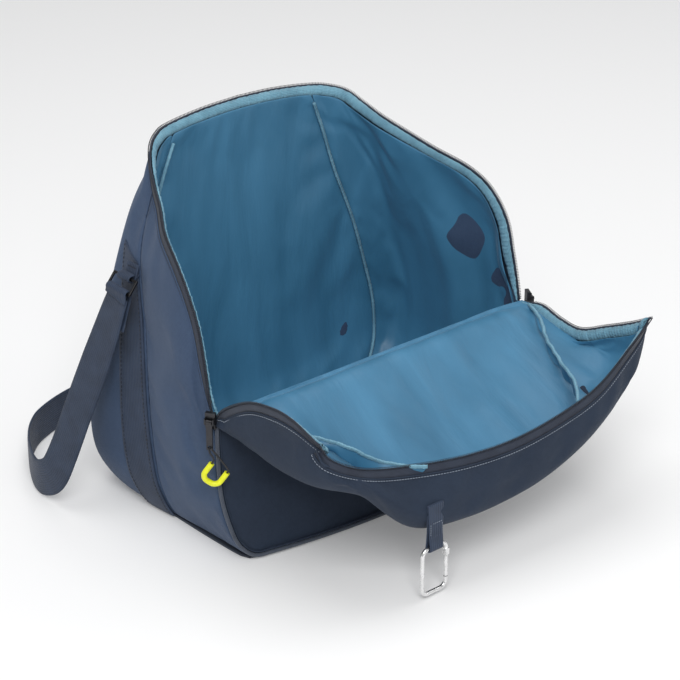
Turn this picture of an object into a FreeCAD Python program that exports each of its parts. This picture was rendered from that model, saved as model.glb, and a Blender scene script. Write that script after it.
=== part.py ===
# Soft boot bag with a hooded front flap, two zip sliders, a shoulder strap and a small snap hook.
# All lengths are in millimetres. X runs across the bag, -Y is its front, +Z is up, the base rests on Z = 0.
import FreeCAD
import Part
import math
import os

V = FreeCAD.Vector

# Driving dimensions
WALL = 4.0              # padded outer fabric
LINING = 1.0            # inner fabric
BASE_T = 3.0            # outer base sheet
BOARD_T = 3.0           # stiff board over the base sheet
TAPE_T = 1.4            # zip tape
TAPE_W = 9.0            # zip tape standing above the wall
BIND_W = 10.0           # gathered binding inside the rim
WEB_W = 39.0            # shoulder strap and side webbing
STRAP_T = 3.0
RING_Y = 47.0           # axis the shoulder strap swings about

# Front edge of the side (half of the front panel's outline), from the base up to the zip end
EDGE = [(183, -123, 3.2), (193, -121, 14), (203, -118, 32), (210, -110, 72), (207, -102, 118),
        (203, -97, 145)]
# Half of the open rim, from the zip end up over the back corner to the middle of the back
RIM = [(203, -97, 145), (204, -92, 168), (203, -86, 197), (202, -76, 233), (198, -56, 262),
       (190, -31, 280),
       (175, 7, 295), (160, 34, 310), (149, 57, 322), (139, 76, 335), (128, 90, 347), (112, 102, 353),
       (92, 110, 356), (46, 112, 361), (0, 112, 363)]
SEAM_TOP = 8            # index in RIM where the side seam ends
CORNER_TOP = 12         # index in RIM where the back corner ends
# Side seam and back corner, from the base up to the rim
SEAM = [(188, -15, 3.2), (196, -11, 20), (203, -6, 48), (205, -1, 93), (203, 5, 139), (192, 21, 199),
        (176, 46, 261),
        (149, 57, 322)]
CORNER = [(158, 99, 3.2), (170, 106, 16), (182, 112, 44), (181, 114, 90), (168, 114, 140),
          (150, 113, 195),
          (124, 113, 258), (106, 112, 310), (92, 110, 356)]
BACK_MID = [(0, 104, 3.2), (0, 111, 16), (0, 118, 44), (0, 120, 90), (0, 120, 140), (0, 117, 195),
            (0, 115, 258),
            (0, 113, 310), (0, 112, 363)]


def vec(p):
    return V(float(p[0]), float(p[1]), float(p[2]))


def mirror(points):
    return [V(-p.x, p.y, p.z) for p in points]


def resample(points, n):
    """n points spaced evenly along a broken line."""
    run = [0.0]
    for a, b in zip(points, points[1:]):
        run.append(run[-1] + (b - a).Length)
    out = []
    for k in range(n):
        s = run[-1] * k / (n - 1)
        i = 0
        while i < len(run) - 2 and run[i + 1] < s:
            i += 1
        f = (s - run[i]) / (run[i + 1] - run[i])
        out.append(points[i] + (points[i + 1] - points[i]) * f)
    return out


def coons(bottom, top, left, right, nu, nv):
    """A grid of nv rows by nu columns filling four joined boundary lines."""
    b = resample(bottom, nu)
    t = resample(top, nu)
    l = resample(left, nv)
    r = resample(right, nv)
    grid = []
    for j in range(nv):
        v = j / (nv - 1)
        row = []
        for i in range(nu):
            u = i / (nu - 1)
            p = b[i] * (1 - v) + t[i] * v + l[j] * (1 - u) + r[j] * u
            p = p - b[0] * ((1 - u) * (1 - v)) - b[-1] * (u * (1 - v))
            p = p - t[0] * ((1 - u) * v) - t[-1] * (u * v)
            row.append(p)
        grid.append(row)
    return grid


def normals(grid):
    """Unit normals of a grid, along rows crossed with columns."""
    rows = len(grid)
    cols = len(grid[0])
    out = []
    for j in range(rows):
        row = []
        for i in range(cols):
            du = grid[j][min(i + 1, cols - 1)] - grid[j][max(i - 1, 0)]
            dv = grid[min(j + 1, rows - 1)][i] - grid[max(j - 1, 0)][i]
            n = du.cross(dv)
            n.normalize()
            row.append(n)
        out.append(row)
    return out


def offset(grid, d, outward):
    """The grid moved by d along its normals; outward is a rough direction that fixes their sign."""
    n = normals(grid)
    mid = n[len(n) // 2][len(n[0]) // 2]
    sign = 1.0 if mid.dot(outward) > 0 else -1.0
    return [[p + m * (sign * d) for p, m in zip(row, ns)] for row, ns in zip(grid, n)]


def level(grid, z):
    """Puts the lowest row at height z."""
    grid[0] = [V(p.x, p.y, z) for p in grid[0]]
    return grid


def drop_top(grid, d):
    """Draws the highest row down its columns by d."""
    for i, p in enumerate(grid[-1]):
        q = grid[-2][i] - p
        q.normalize()
        grid[-1][i] = p + q * d
    return grid


def trimmed(shape, *others):
    """What is left of shape outside the others, without loose crumbs."""
    for other in others:
        shape = shape.cut(other)
    return max(shape.Solids, key=lambda s: s.Volume)


def triangle(a, b, c):
    return Part.Face(Part.makePolygon([a, b, c, a]))


def slab(one, two):
    """A closed solid between two grids of the same size."""
    rows = len(one)
    cols = len(one[0])
    faces = []
    for g in (one, two):
        for j in range(rows - 1):
            for i in range(cols - 1):
                faces.append(triangle(g[j][i], g[j][i + 1], g[j + 1][i + 1]))
                faces.append(triangle(g[j][i], g[j + 1][i + 1], g[j + 1][i]))
    ring = [(0, i) for i in range(cols)] + [(j, cols - 1) for j in range(1, rows)]
    ring += [(rows - 1, i) for i in range(cols - 2, -1, -1)] + [(j, 0) for j in range(rows - 2, 0, -1)]
    for k in range(len(ring)):
        j0, i0 = ring[k]
        j1, i1 = ring[(k + 1) % len(ring)]
        faces.append(triangle(one[j0][i0], one[j1][i1], two[j1][i1]))
        faces.append(triangle(one[j0][i0], two[j1][i1], two[j0][i0]))
    return closed(faces)


def closed(faces):
    shell = Part.Shell(faces)
    shell.sewShape()
    solid = Part.Solid(shell)
    if solid.Volume < 0:
        solid.reverse()
    return solid


def band(points, across, width, thickness):
    """A flat band along points; across gives its width direction at each one."""
    one = []
    two = []
    for k, p in enumerate(points):
        a = V(across[k])
        a.normalize()
        t = points[min(k + 1, len(points) - 1)] - points[max(k - 1, 0)]
        t.normalize()
        n = a.cross(t)
        n.normalize()
        one.append([p - a * (width / 2) + n * (thickness / 2), p + a * (width / 2) + n * (thickness / 2)])
        two.append([p - a * (width / 2) - n * (thickness / 2), p + a * (width / 2) - n * (thickness / 2)])
    return slab(one, two)


def rod(points, radius, sides=8):
    """A faceted round rod along points."""
    rings = []
    side = None
    for k, p in enumerate(points):
        t = points[min(k + 1, len(points) - 1)] - points[max(k - 1, 0)]
        t.normalize()
        if side is None:
            side = t.cross(V(0, 0, 1) if abs(t.z) < 0.8 else V(0, 1, 0))
        side = side - t * side.dot(t)
        side.normalize()
        up = t.cross(side)
        ring = []
        for s in range(sides):
            a = 2 * math.pi * s / sides
            ring.append(p + side * (radius * math.cos(a)) + up * (radius * math.sin(a)))
        rings.append(ring)
    faces = []
    for r0, r1 in zip(rings, rings[1:]):
        for s in range(sides):
            n = (s + 1) % sides
            faces.append(triangle(r0[s], r0[n], r1[n]))
            faces.append(triangle(r0[s], r1[n], r1[s]))
    faces.append(Part.Face(Part.makePolygon(rings[0] + [rings[0][0]])))
    faces.append(Part.Face(Part.makePolygon(rings[-1] + [rings[-1][0]])))
    return closed(faces)


def box(x0, x1, y0, y1, z0, z1):
    return Part.makeBox(x1 - x0, y1 - y0, z1 - z0, V(x0, y0, z0))


def rim_frame(rim, outer):
    """In-surface direction away from the rim at each rim point, from the outward direction there."""
    down = []
    for k, p in enumerate(rim):
        t = rim[min(k + 1, len(rim) - 1)] - rim[max(k - 1, 0)]
        t.normalize()
        d = outer[k].cross(t)
        d.normalize()
        down.append(d)
    return down


# Outward directions along the right half of the rim
RIM_OUT = [V(1, 0, 0), V(1, 0, 0), V(1, 0, 0.02), V(1, 0, 0.1), V(0.95, 0.1, 0.25), V(0.9, 0.15, 0.33),
           V(0.88, 0.25, 0.33), V(0.85, 0.4, 0.28), V(0.8, 0.5, 0.22), V(0.72, 0.65, 0.15),
           V(0.6, 0.78, 0.1),
           V(0.4, 0.9, 0.05), V(0.2, 0.98, 0.03), V(0, 1, 0.03), V(0, 1, 0.03)]


def full(half):
    """A line over both sides, from the left end over the middle to the right end."""
    return mirror(half) + half[-2::-1]


rim_half = [vec(p) for p in RIM]
out_half = [V(o) for o in RIM_OUT]
for o in out_half:
    o.normalize()
# half runs up from the right end; turned so that the in-surface direction points into the wall
down_half = [d * -1 if d.dot(V(0, 0.4, -1)) < 0 else d for d in rim_frame(rim_half, out_half)]
TAPER = [0.0, 0.55] + [1.0] * (len(RIM) - 2)


def rim_line(along, inward):
    """Right half of a line beside the rim: along the wall by `along`, into the bag by `inward`."""
    return [p + d * (along * f) - o * inward for p, d, o, f in zip(rim_half, down_half, out_half, TAPER)]


parts = {}

# Base
edge = [vec(p) for p in EDGE]
seam = [vec(p) for p in SEAM]
corner = [vec(p) for p in CORNER]
back_mid = [vec(p) for p in BACK_MID]


def base_outline(z, grow, front_bow):
    right = [V(0, -123 - front_bow, z), V(70, -123 - front_bow * 0.88, z),
             V(130, -123 - front_bow * 0.55, z),
             V(183 + grow, -123, z), V(187.5 + grow, -60, z), V(188 + grow, -15, z), V(187 + grow, 50, z),
             V(178 + grow, 86, z), V(158 + grow, 99 + grow, z), V(80, 103 + grow, z), V(0, 104 + grow, z)]
    loop = right + mirror(right[1:-1])[::-1]
    return Part.Face(Part.makePolygon(loop + [loop[0]]))


FRONT_BOW = 22.0
parts["base_panel"] = base_outline(0, 0, FRONT_BOW - 0.4).extrude(V(0, 0, BASE_T))


def shrink(z, t):
    right = [V(0, -123 - FRONT_BOW + 9, z), V(70, -134, z), V(130, -126, z), V(176, -114, z),
             V(180, -60, z),
             V(180, 50, z), V(171, 80, z), V(152, 91, z), V(80, 95, z), V(0, 96, z)]
    loop = right + mirror(right[1:-1])[::-1]
    return Part.Face(Part.makePolygon(loop + [loop[0]])).extrude(V(0, 0, t))


parts["base_board"] = shrink(3.4, BOARD_T)
parts["lining_base"] = shrink(6.8, LINING)

# Walls
top_line = rim_line(TAPE_W, 0.0)
side_gap = V(0, 0.5, 0)


def wall_side_front(top):
    bottom = [edge[0], seam[0]]
    right = seam[:-1] + [top[SEAM_TOP]]
    return coons(bottom, top[:SEAM_TOP + 1], edge, right, 8, 10)


def wall_side_rear(top):
    bottom = [seam[0] + side_gap, V(187, 45, 3.2), V(177, 85, 3.2), corner[0]]
    left = [p + side_gap for p in seam[:-1]] + [top[SEAM_TOP] + side_gap]
    right = corner[:-1] + [top[CORNER_TOP]]
    grid = coons(bottom, [left[-1]] + top[SEAM_TOP + 1:CORNER_TOP + 1], left, right, 8, 10)
    # the rear of the side swells outwards before it turns into the back
    for j, row in enumerate(grid):
        v = j / (len(grid) - 1)
        for i, p in enumerate(row):
            u = i / (len(row) - 1)
            swell = 17.0 * math.sin(math.pi * u) * math.sin(math.pi * min(1,
                                                                          0.08 + v)) ** 0.7 if 0 < u < 1 else 0
            row[i] = p + V(0.75, 0.66, 0) * (swell * (0.35 + 0.65 * u))
    return grid


def wall_back(top, narrow):
    right = corner[:-1] + [top[CORNER_TOP]]
    right = [p - V(narrow, 0, 0) for p in right]
    left = mirror(right)
    bottom = [left[0], back_mid[0], right[0]]
    upper = [left[-1]] + mirror(top[CORNER_TOP + 1:-1]) + top[:CORNER_TOP:-1] + [right[-1]]
    return coons(bottom, upper, left, right, 9, 10)


def wall_front(narrow, raised):
    right = [p - V(narrow, 0, 0) for p in edge]
    left = mirror(right)
    n = 9
    bottom = []
    for k in range(n):
        x = right[0].x * (2 * k / (n - 1) - 1)
        bow = FRONT_BOW * (1 - (x / right[0].x) ** 2)
        bottom.append(V(x, right[0].y - bow, right[0].z))
    top = []
    for k in range(n):
        x = right[-1].x * (2 * k / (n - 1) - 1)
        bow = 5.0 * (1 - (x / right[-1].x) ** 2)
        top.append(V(x, right[-1].y - bow, right[-1].z + raised))
    return coons(bottom, top, left, right, 9, 8)


def flip(grid):
    return [mirror(row) for row in grid]


side_front = wall_side_front(top_line)
side_rear = wall_side_rear(top_line)
out_right = V(1, 0, 0)
inner_front = level(offset(side_front, -WALL, out_right), 3.2)
inner_rear = level(offset(side_rear, -WALL, out_right), 3.2)
parts["side_front_right"] = slab(side_front, inner_front)
parts["side_front_left"] = slab(flip(side_front), flip(inner_front))
parts["side_rear_right"] = slab(side_rear, inner_rear)
parts["side_rear_left"] = slab(flip(side_rear), flip(inner_rear))
back = wall_back(top_line, 4.2)
parts["back_panel"] = slab(back, level(offset(back, -WALL, V(0, 1, 0)), 3.2))
front = wall_front(5.0, 0.0)
parts["front_panel"] = slab(front, level(offset(front, -WALL, V(0, -1, 0)), 3.2))

# Linings stand just inside the walls
LINING_GAP = 1.2
lin_front = drop_top(offset(side_front, -WALL - LINING_GAP, out_right), 6.0)
lin_rear = drop_top(offset(side_rear, -WALL - LINING_GAP, out_right), 6.0)


def trim_grid(grid, first, last, low):
    return [row[first:len(row) - last] for row in grid[low:]]


def lift_foot(grid, z):
    """Raises the lowest row to z so that it stands on the base lining."""
    for i, p in enumerate(grid[0]):
        q = grid[1][i]
        f = (z - p.z) / (q.z - p.z)
        grid[0][i] = p + (q - p) * f
    return grid


lin_f = lift_foot(trim_grid(lin_front, 1, 0, 0), 8.2)
lin_r = lift_foot(trim_grid(lin_rear, 0, 1, 0), 8.2)
lin_side = [a + b[1:] for a, b in zip(lin_f, lin_r)]
lin_side_in = offset(lin_side, -LINING, out_right)
lining = trimmed(slab(lin_side, lin_side_in), parts["side_front_right"], parts["side_rear_right"])
parts["lining_right"] = lining
parts["lining_left"] = lining.mirror(V(0, 0, 0), V(1, 0, 0))
lin_back = lift_foot(drop_top(offset(wall_back(top_line, 15.0), -WALL - LINING_GAP, V(0, 1, 0)), 6.0),
                     8.2)
parts["lining_back"] = slab(lin_back, offset(lin_back, -LINING, V(0, 1, 0)))
lin_fr = lift_foot(offset(wall_front(12.0, -2.0), -WALL - LINING_GAP, V(0, -1, 0)), 8.2)
parts["lining_front"] = slab(lin_fr, offset(lin_fr, -LINING, V(0, -1, 0)))

# Zip tape, coil and binding along the rim
TAPE_FOOT = TAPE_W - 1.8
lo = rim_line(TAPE_FOOT, 0.6)
hi = rim_line(0.0, 0.6)
lo_in = rim_line(TAPE_FOOT, 0.6 + TAPE_T)
hi_in = rim_line(0.0, 0.6 + TAPE_T)
parts["body_zip_tape"] = slab([full(lo[1:]), full(hi[1:])], [full(lo_in[1:]), full(hi_in[1:])])
coil_line = [p + o * 1.8 for p, o in zip(rim_line(1.0, 0.0), out_half)]
parts["body_zip_coil"] = rod(full(coil_line[1:]), 1.3, 6)
b0 = rim_line(3.0, WALL + 2.0)
b1 = rim_line(3.0 + BIND_W, WALL + 2.6)
b0i = rim_line(3.0, WALL + 3.4)
b1i = rim_line(3.0 + BIND_W, WALL + 4.0)
binding = slab([full(b1[2:]), full(b0[2:])], [full(b1i[2:]), full(b0i[2:])])
parts["body_binding"] = trimmed(binding, parts["lining_left"], parts["lining_right"],
                                parts["lining_back"])

# Piping round the fixed front panel
pipe_half = [p + V(-1.6, -2.6, 0) for p in edge]
pipe_half[-1] = pipe_half[-2] + (pipe_half[-1] - pipe_half[-2]) * 0.75
bottom_half = []
for k in range(6):
    x = (edge[0].x - 6) * k / 6.0
    bow = FRONT_BOW * (1 - (x / edge[0].x) ** 2)
    bottom_half.append(V(x, edge[0].y - bow - 2.4, 3.6))
loop = mirror(bottom_half[1:])[::-1]
right_line = bottom_half + [V(180, -126, 4.0)] + pipe_half[1:]
left_line = mirror(right_line[1:])[::-1]
parts["front_piping"] = trimmed(rod(left_line + right_line, 2.0, 8), parts["base_panel"])

# Side webbing behind each seam, with the loop that holds the ring
strip = []
for row in side_rear[:8]:
    q = row[1] - row[0]
    q.normalize()
    strip.append([row[0] + q * d for d in (1.0, 13.0, 26.0, WEB_W + 1.0)])
web_out = offset(strip, 3.2, out_right)
web_in = offset(strip, 1.0, out_right)
parts["side_webbing_right"] = slab(web_out, web_in)
parts["side_webbing_left"] = slab(flip(web_out), flip(web_in))

# Bindings over the two upright seams inside the back
for side in (1, -1):
    line = [V(side * (p.x - 9.5), p.y - 11.0, p.z) for p in corner[1:-1]]
    name = "inner_seam_right" if side > 0 else "inner_seam_left"
    parts[name] = rod(line, 1.6, 6)

# Open flap. Columns run from the left rim over the hanging belly to the right rim, rows from the fold to the front.
FLAP = [
    [(-203, -97, 145), (-204, -114, 164), (-206, -153, 187), (-206, -189, 194), (-205, -212, 192),
     (-203, -231, 184),
     (-200, -243, 176)],
    [(-203, -99, 143), (-205, -118, 141), (-205, -155, 137), (-205, -192, 133), (-203, -228, 134),
     (-197, -250, 146),
     (-192, -251, 163)],
    [(-160, -101, 146), (-160, -118, 149), (-160, -155, 140), (-160, -222, 122), (-158, -255, 111),
     (-158, -270, 122),
     (-160, -258, 145)],
    [(-110, -102, 146), (-110, -121, 152), (-110, -155, 132), (-110, -205, 103), (-110, -262, 73),
     (-110, -284, 98),
     (-106, -266, 133)],
    [(-55, -102, 146), (-55, -122, 153), (-55, -155, 128), (-55, -195, 100), (-55, -266, 64),
     (-55, -292, 92),
     (-53, -280, 130)],
    [(0, -102, 146), (0, -122, 153), (0, -155, 128), (0, -192, 99), (0, -270, 66), (0, -297, 95),
     (0, -288, 131)],
    [(55, -102, 146), (55, -122, 153), (55, -155, 129), (55, -195, 102), (55, -272, 74), (55, -299, 103),
     (55, -291, 138)],
    [(110, -102, 146), (110, -121, 152), (110, -155, 131), (110, -205, 106), (110, -270, 88),
     (110, -297, 118),
     (110, -290, 150)],
    [(160, -101, 146), (160, -119, 150), (160, -155, 138), (160, -225, 120), (160, -264, 113),
     (162, -284, 138),
     (163, -283, 173)],
    [(203, -99, 143), (205, -118, 142), (206, -155, 132), (206, -192, 125), (204, -235, 130),
     (200, -264, 152),
     (191, -277, 184)],
    [(203, -97, 147), (206, -125, 152), (207, -151, 145), (207, -179, 143), (205, -215, 159),
     (201, -252, 177),
     (198, -278, 192)],
]
SPLIT = 3               # row where the part of the flap that swings begins
FLAP_T = 3.2
WING_GAP = 13.0         # keeps the closed wings clear of the raised strap
flap = [[vec(p) for p in column] for column in FLAP]
UP = V(0, 0, 1)
RIM_DROP = V(0, 0, -TAPE_W - 0.4)


def flap_grid(first, last, row0, row1, narrow, drop, gap=0.0):
    """Rows of flap points between two columns, the outer ones drawn in by narrow and the rim row dropped."""
    grid = []
    for j in range(row0, row1 + 1):
        row = []
        for i in range(first, last + 1):
            p = V(flap[i][j])
            if i == first and first == 1:
                p.x += narrow
            if i == last and last == 9:
                p.x -= narrow
            if j == 6:
                p = p + drop
            if j == row0 and gap:
                q = flap[i][j + 1] - flap[i][j]
                q.normalize()
                p = p + q * gap
            row.append(p)
        grid.append(row)
    return grid


def refine(grid, n):
    """The grid with n spans in place of each one, along smooth curves through its points."""
    def curve(points):
        out = []
        for k in range(len(points) - 1):
            p0 = points[max(k - 1, 0)]
            p1 = points[k]
            p2 = points[k + 1]
            p3 = points[min(k + 2, len(points) - 1)]
            for m in range(n):
                t = m / n
                out.append((p1 * 2 + (p2 - p0) * t + (p0 * 2 - p1 * 5 + p2 * 4 - p3) * (t * t)
                            + (p1 * 3 - p0 - p2 * 3 + p3) * (t * t * t)) * 0.5)
        out.append(points[-1])
        return out
    rows = [curve(row) for row in grid]
    columns = [curve(list(c)) for c in zip(*rows)]
    return [list(r) for r in zip(*columns)]


def shell_pair(name, grid, start, thickness, outward):
    parts[name] = slab(offset(grid, -start, outward) if start else grid,
                       offset(grid, -start - thickness, outward))


DOWN = V(0, -0.2, -1)
fold = refine(flap_grid(1, 9, 0, SPLIT, 4.2, V()), 2)
shell_pair("fold_panel", fold, 0.0, FLAP_T, DOWN)
panel = refine(flap_grid(1, 9, SPLIT, 6, 4.2, RIM_DROP, 2.0), 2)
shell_pair("flap_panel", panel, 0.0, FLAP_T, DOWN)
fold_in = refine(flap_grid(1, 9, 0, SPLIT, 10.0, V()), 2)
shell_pair("fold_lining", fold_in, FLAP_T + 0.8, LINING, DOWN)
panel_in = refine(flap_grid(1, 9, SPLIT, 6, 10.0, V(0, 3, -14), 3.0), 2)
shell_pair("flap_lining", panel_in, FLAP_T + 0.8, LINING, DOWN)
parts["fold_lining"] = trimmed(parts["fold_lining"], parts["fold_panel"])
parts["flap_lining"] = trimmed(parts["flap_lining"], parts["fold_panel"], parts["fold_lining"],
                               parts["flap_panel"])
for name, cols, out in (("left", (0, 1), V(-1, 0, 0)), ("right", (9, 10), V(1, 0, 0))):
    rim_col = 0 if name == "left" else 10
    still = []
    for j in range(0, SPLIT + 1):
        still.append([flap[i][j] + V(0, -2.5, 0) if j == 0 else flap[i][j] for i in cols])
    shell_pair("fold_side_" + name, still, 0.0, FLAP_T, out)
    swing = []
    for j in range(SPLIT, 7):
        row = []
        for i in cols:
            p = V(flap[i][j])
            if i == rim_col:
                p = p + RIM_DROP
            if i != rim_col and j == 6:
                p = p + RIM_DROP
            if j == SPLIT:
                p = p + V(0, -WING_GAP, 0)
            row.append(p)
        swing.append(row)
    shell_pair("flap_side_" + name, swing, 0.0, FLAP_T, out)
    parts["flap_side_" + name] = trimmed(parts["flap_side_" + name], parts["fold_side_" + name])

FRONT_RIM = [(-190, -251, 162), (-175, -254, 150), (-145, -261, 141), (-100, -266, 133), (-40, -283, 130),
             (30, -292, 133), (100, -290, 146), (145, -286, 165), (190, -277, 184)]
FRONT_OUT = [(-0.5, -0.86), (-0.3, -0.95), (-0.15, -1), (-0.2, -1), (-0.1, -1), (0, -1), (0.05, -1),
             (0.1, -1), (0.3, -0.95)]
flap_rim = [flap[0][j] for j in range(SPLIT, 7)] + [vec(p) for p in FRONT_RIM] + [flap[10][j] for j in range(6, SPLIT - 1, -1)]
flap_out = [V(-1, 0, 0)] * 2 + [V(-1, -0.15, 0), V(-0.8, -0.6, 0)] + [V(a, b, 0) for a, b in FRONT_OUT]
flap_out += [V(0.8, -0.6, 0), V(1, -0.15, 0)] + [V(1, 0, 0)] * 2
for o in flap_out:
    o.normalize()
for k in (0, -1):
    flap_rim[k] = flap_rim[k] + V(0, -WING_GAP, 0)


def rim_strip(low, high, inward, thickness):
    one = []
    two = []
    for d in (low, high):
        one.append([p - o * inward - UP * d for p, o in zip(flap_rim, flap_out)])
        two.append([p - o * (inward + thickness) - UP * d for p, o in zip(flap_rim, flap_out)])
    return slab(one, two)


parts["flap_zip_tape"] = rim_strip(TAPE_W - 0.4, 0.0, 0.8, TAPE_T)
parts["flap_zip_coil"] = rod([p + o * 1.4 - UP * 1.2 for p, o in zip(flap_rim, flap_out)], 1.3, 6)
parts["flap_binding"] = rim_strip(3.0 + BIND_W, 3.0, FLAP_T + 5.0, 1.4)
swinging = [parts["flap_panel"], parts["flap_side_left"], parts["flap_side_right"]]
fixed = [parts["fold_panel"], parts["fold_side_left"], parts["fold_side_right"]]
parts["flap_zip_tape"] = trimmed(parts["flap_zip_tape"], *swinging, *fixed)
parts["flap_binding"] = trimmed(parts["flap_binding"], parts["flap_lining"], *swinging, *fixed)

# Webbing tab under the flap and the snap hook hanging in it
HOOK_X = -97.0
HOOK_Y = -285.0
HOOK_Z = 53.0
WIRE_R = 2.0
tab = box(HOOK_X - 10, HOOK_X + 10, HOOK_Y - 1.5, HOOK_Y + 1.5, HOOK_Z + 1, 97)
eye = Part.makeCylinder(4.6, 20, V(HOOK_X - 10, HOOK_Y, HOOK_Z), V(1, 0, 0))
hole = Part.makeCylinder(2.5, 22, V(HOOK_X - 11, HOOK_Y, HOOK_Z), V(1, 0, 0))
parts["hook_tab"] = trimmed(tab.fuse(eye).cut(hole).removeSplitter(), parts["flap_panel"])
W2 = 15.0
Z_LOW = 5.4
path = [V(HOOK_X + W2, HOOK_Y, 44.5), V(HOOK_X + W2, HOOK_Y, HOOK_Z), V(HOOK_X - W2, HOOK_Y, HOOK_Z),
        V(HOOK_X - W2, HOOK_Y, Z_LOW), V(HOOK_X + W2, HOOK_Y, Z_LOW), V(HOOK_X + W2, HOOK_Y, 15.5)]


def rounded(points, radius):
    """Lines joined by arcs of one radius at every corner."""
    edges = []
    here = points[0]
    for k in range(1, len(points) - 1):
        a = points[k] - points[k - 1]
        b = points[k + 1] - points[k]
        turn = a.getAngle(b)
        cut = radius * math.tan(turn / 2)
        a.normalize()
        b.normalize()
        start = points[k] - a * cut
        end = points[k] + b * cut
        middle = b - a
        middle.normalize()
        apex = points[k] + middle * (radius / math.cos(turn / 2) - radius)
        edges.append(Part.makeLine(here, start))
        edges.append(Part.Arc(start, apex, end).toShape())
        here = end
    edges.append(Part.makeLine(here, points[-1]))
    return Part.Wire(edges)


spine = rounded(path, 7.0)
frame = spine.makePipeShell([Part.Wire([Part.makeCircle(WIRE_R, path[0], V(0, 0, 1))])], True, False)
GX = HOOK_X + W2
GATE_Z = 41.5
ears = box(GX - 2, GX + 2, HOOK_Y + 1.25, HOOK_Y + 2.4, GATE_Z - 2.2, 46.0)
ears = ears.fuse(box(GX - 2, GX + 2, HOOK_Y - 2.4, HOOK_Y - 1.25, GATE_Z - 2.2, 46.0))
ears = ears.fuse(box(GX - 2, GX + 2, HOOK_Y - 2.4, HOOK_Y + 2.4, 44.3, 46.0))
pin_hole = Part.makeCylinder(0.8, 8, V(GX, HOOK_Y - 4, GATE_Z), V(0, 1, 0))
parts["hook_frame"] = frame.fuse(ears).cut(pin_hole).removeSplitter()
gate = Part.makeCylinder(1.9, 21.0, V(GX, HOOK_Y, 16.5), V(0, 0, 1))
tongue = box(GX - 1.6, GX + 1.6, HOOK_Y - 0.95, HOOK_Y + 0.95, 37.0, 43.6)
gate_hole = Part.makeCylinder(0.9, 8, V(GX, HOOK_Y - 4, GATE_Z), V(0, 1, 0))
parts["hook_gate"] = gate.fuse(tongue).cut(gate_hole).removeSplitter()
parts["hook_pin"] = Part.makeCylinder(0.8, 4.8, V(GX, HOOK_Y - 2.4, GATE_Z), V(0, 1, 0))

# Zip sliders, their pullers, cords and grips. Each slider is built facing sideways and then turned to face the corner.
SLIDER_X = 208.4
SLIDER_Y = -97.0
SLIDER_Z = 150.0
BAR_X = SLIDER_X + 6.4
TURN_X = 203.0
TURN = 30.0


def facing(shape):
    """The shape turned about the zip end so that it faces the bag's front corner."""
    turned = shape.copy()
    turned.rotate(V(TURN_X, SLIDER_Y, 0), V(0, 0, 1), -TURN)
    return turned


body = box(SLIDER_X, SLIDER_X + 4.0, SLIDER_Y - 5.0, SLIDER_Y + 5.0, SLIDER_Z - 8, SLIDER_Z + 8)
post = box(SLIDER_X + 3.9, BAR_X + 1.2, SLIDER_Y - 4.8, SLIDER_Y - 3.6, SLIDER_Z - 3, SLIDER_Z + 3)
post = post.fuse(box(SLIDER_X + 3.9, BAR_X + 1.2, SLIDER_Y + 3.6, SLIDER_Y + 4.8, SLIDER_Z - 3,
                     SLIDER_Z + 3))
bar = Part.makeCylinder(0.9, 9.0, V(BAR_X, SLIDER_Y - 4.5, SLIDER_Z), V(0, 1, 0))
slider = facing(body.fuse(post).fuse(bar).removeSplitter())
plate = box(BAR_X - 0.9, BAR_X + 0.9, SLIDER_Y - 3.0, SLIDER_Y + 3.0, SLIDER_Z - 29, SLIDER_Z - 1.5)
ring_end = Part.makeCylinder(2.1, 6.0, V(BAR_X, SLIDER_Y - 3.0, SLIDER_Z), V(0, 1, 0))
bore = Part.makeCylinder(1.3, 8.0, V(BAR_X, SLIDER_Y - 4.0, SLIDER_Z), V(0, 1, 0))
cord_hole = Part.makeCylinder(1.7, 8.0, V(BAR_X - 4.0, SLIDER_Y, SLIDER_Z - 26), V(1, 0, 0))
puller = facing(plate.fuse(ring_end).cut(bore).cut(cord_hole).removeSplitter())
# The cord runs out of the puller's hole, down outside the corner, round the grip and back behind the puller
CORD_OUT = [(210.8, -101.5, 124.0), (218.1, -105.7, 123.6)]
CORD_GRIP = [(219.8, -113.8, 113.6), (227.4, -107.1, 99.2), (216.8, -116.4, 89.4), (209.2, -123.1, 103.8)]
CORD_BACK = (211.2, -101.7, 121.5)
CORD_R = 0.9
GRIP_R = 2.7
u_points = [vec(p) for p in CORD_GRIP]
u_wire = rounded(u_points, 6.8)
into_u = u_points[1] - u_points[0]
into_u.normalize()
out_of_u = u_points[3] - u_points[2]
out_of_u.normalize()
outer = u_wire.makePipeShell([Part.Wire([Part.makeCircle(GRIP_R, u_points[0], into_u)])], True, False)
bore_line = u_wire.makePipeShell([Part.Wire([Part.makeCircle(CORD_R + 0.35, u_points[0], into_u)])],
                                 True, False)
grip = outer.cut(bore_line)
way_out = rounded([vec(p) for p in CORD_OUT] + [u_points[0] - into_u * 5.0, u_points[0]], 1.8)
way_back = rounded([u_points[3], u_points[3] + out_of_u * 4.0, vec(CORD_BACK)], 1.8)
whole = Part.Wire(Part.__sortEdges__(way_out.Edges + u_wire.Edges + way_back.Edges))
first_run = vec(CORD_OUT[1]) - vec(CORD_OUT[0])
profile = Part.Wire([Part.makeCircle(CORD_R, vec(CORD_OUT[0]), first_run)])
pull_cord = whole.makePipeShell([profile], True, False, 1)
for key, solid in (("slider", slider), ("puller", puller), ("pull_grip", grip), ("pull_cord", pull_cord)):
    parts[key + "_right"] = solid
    parts[key + "_left"] = solid.mirror(V(0, 0, 0), V(1, 0, 0))

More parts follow.
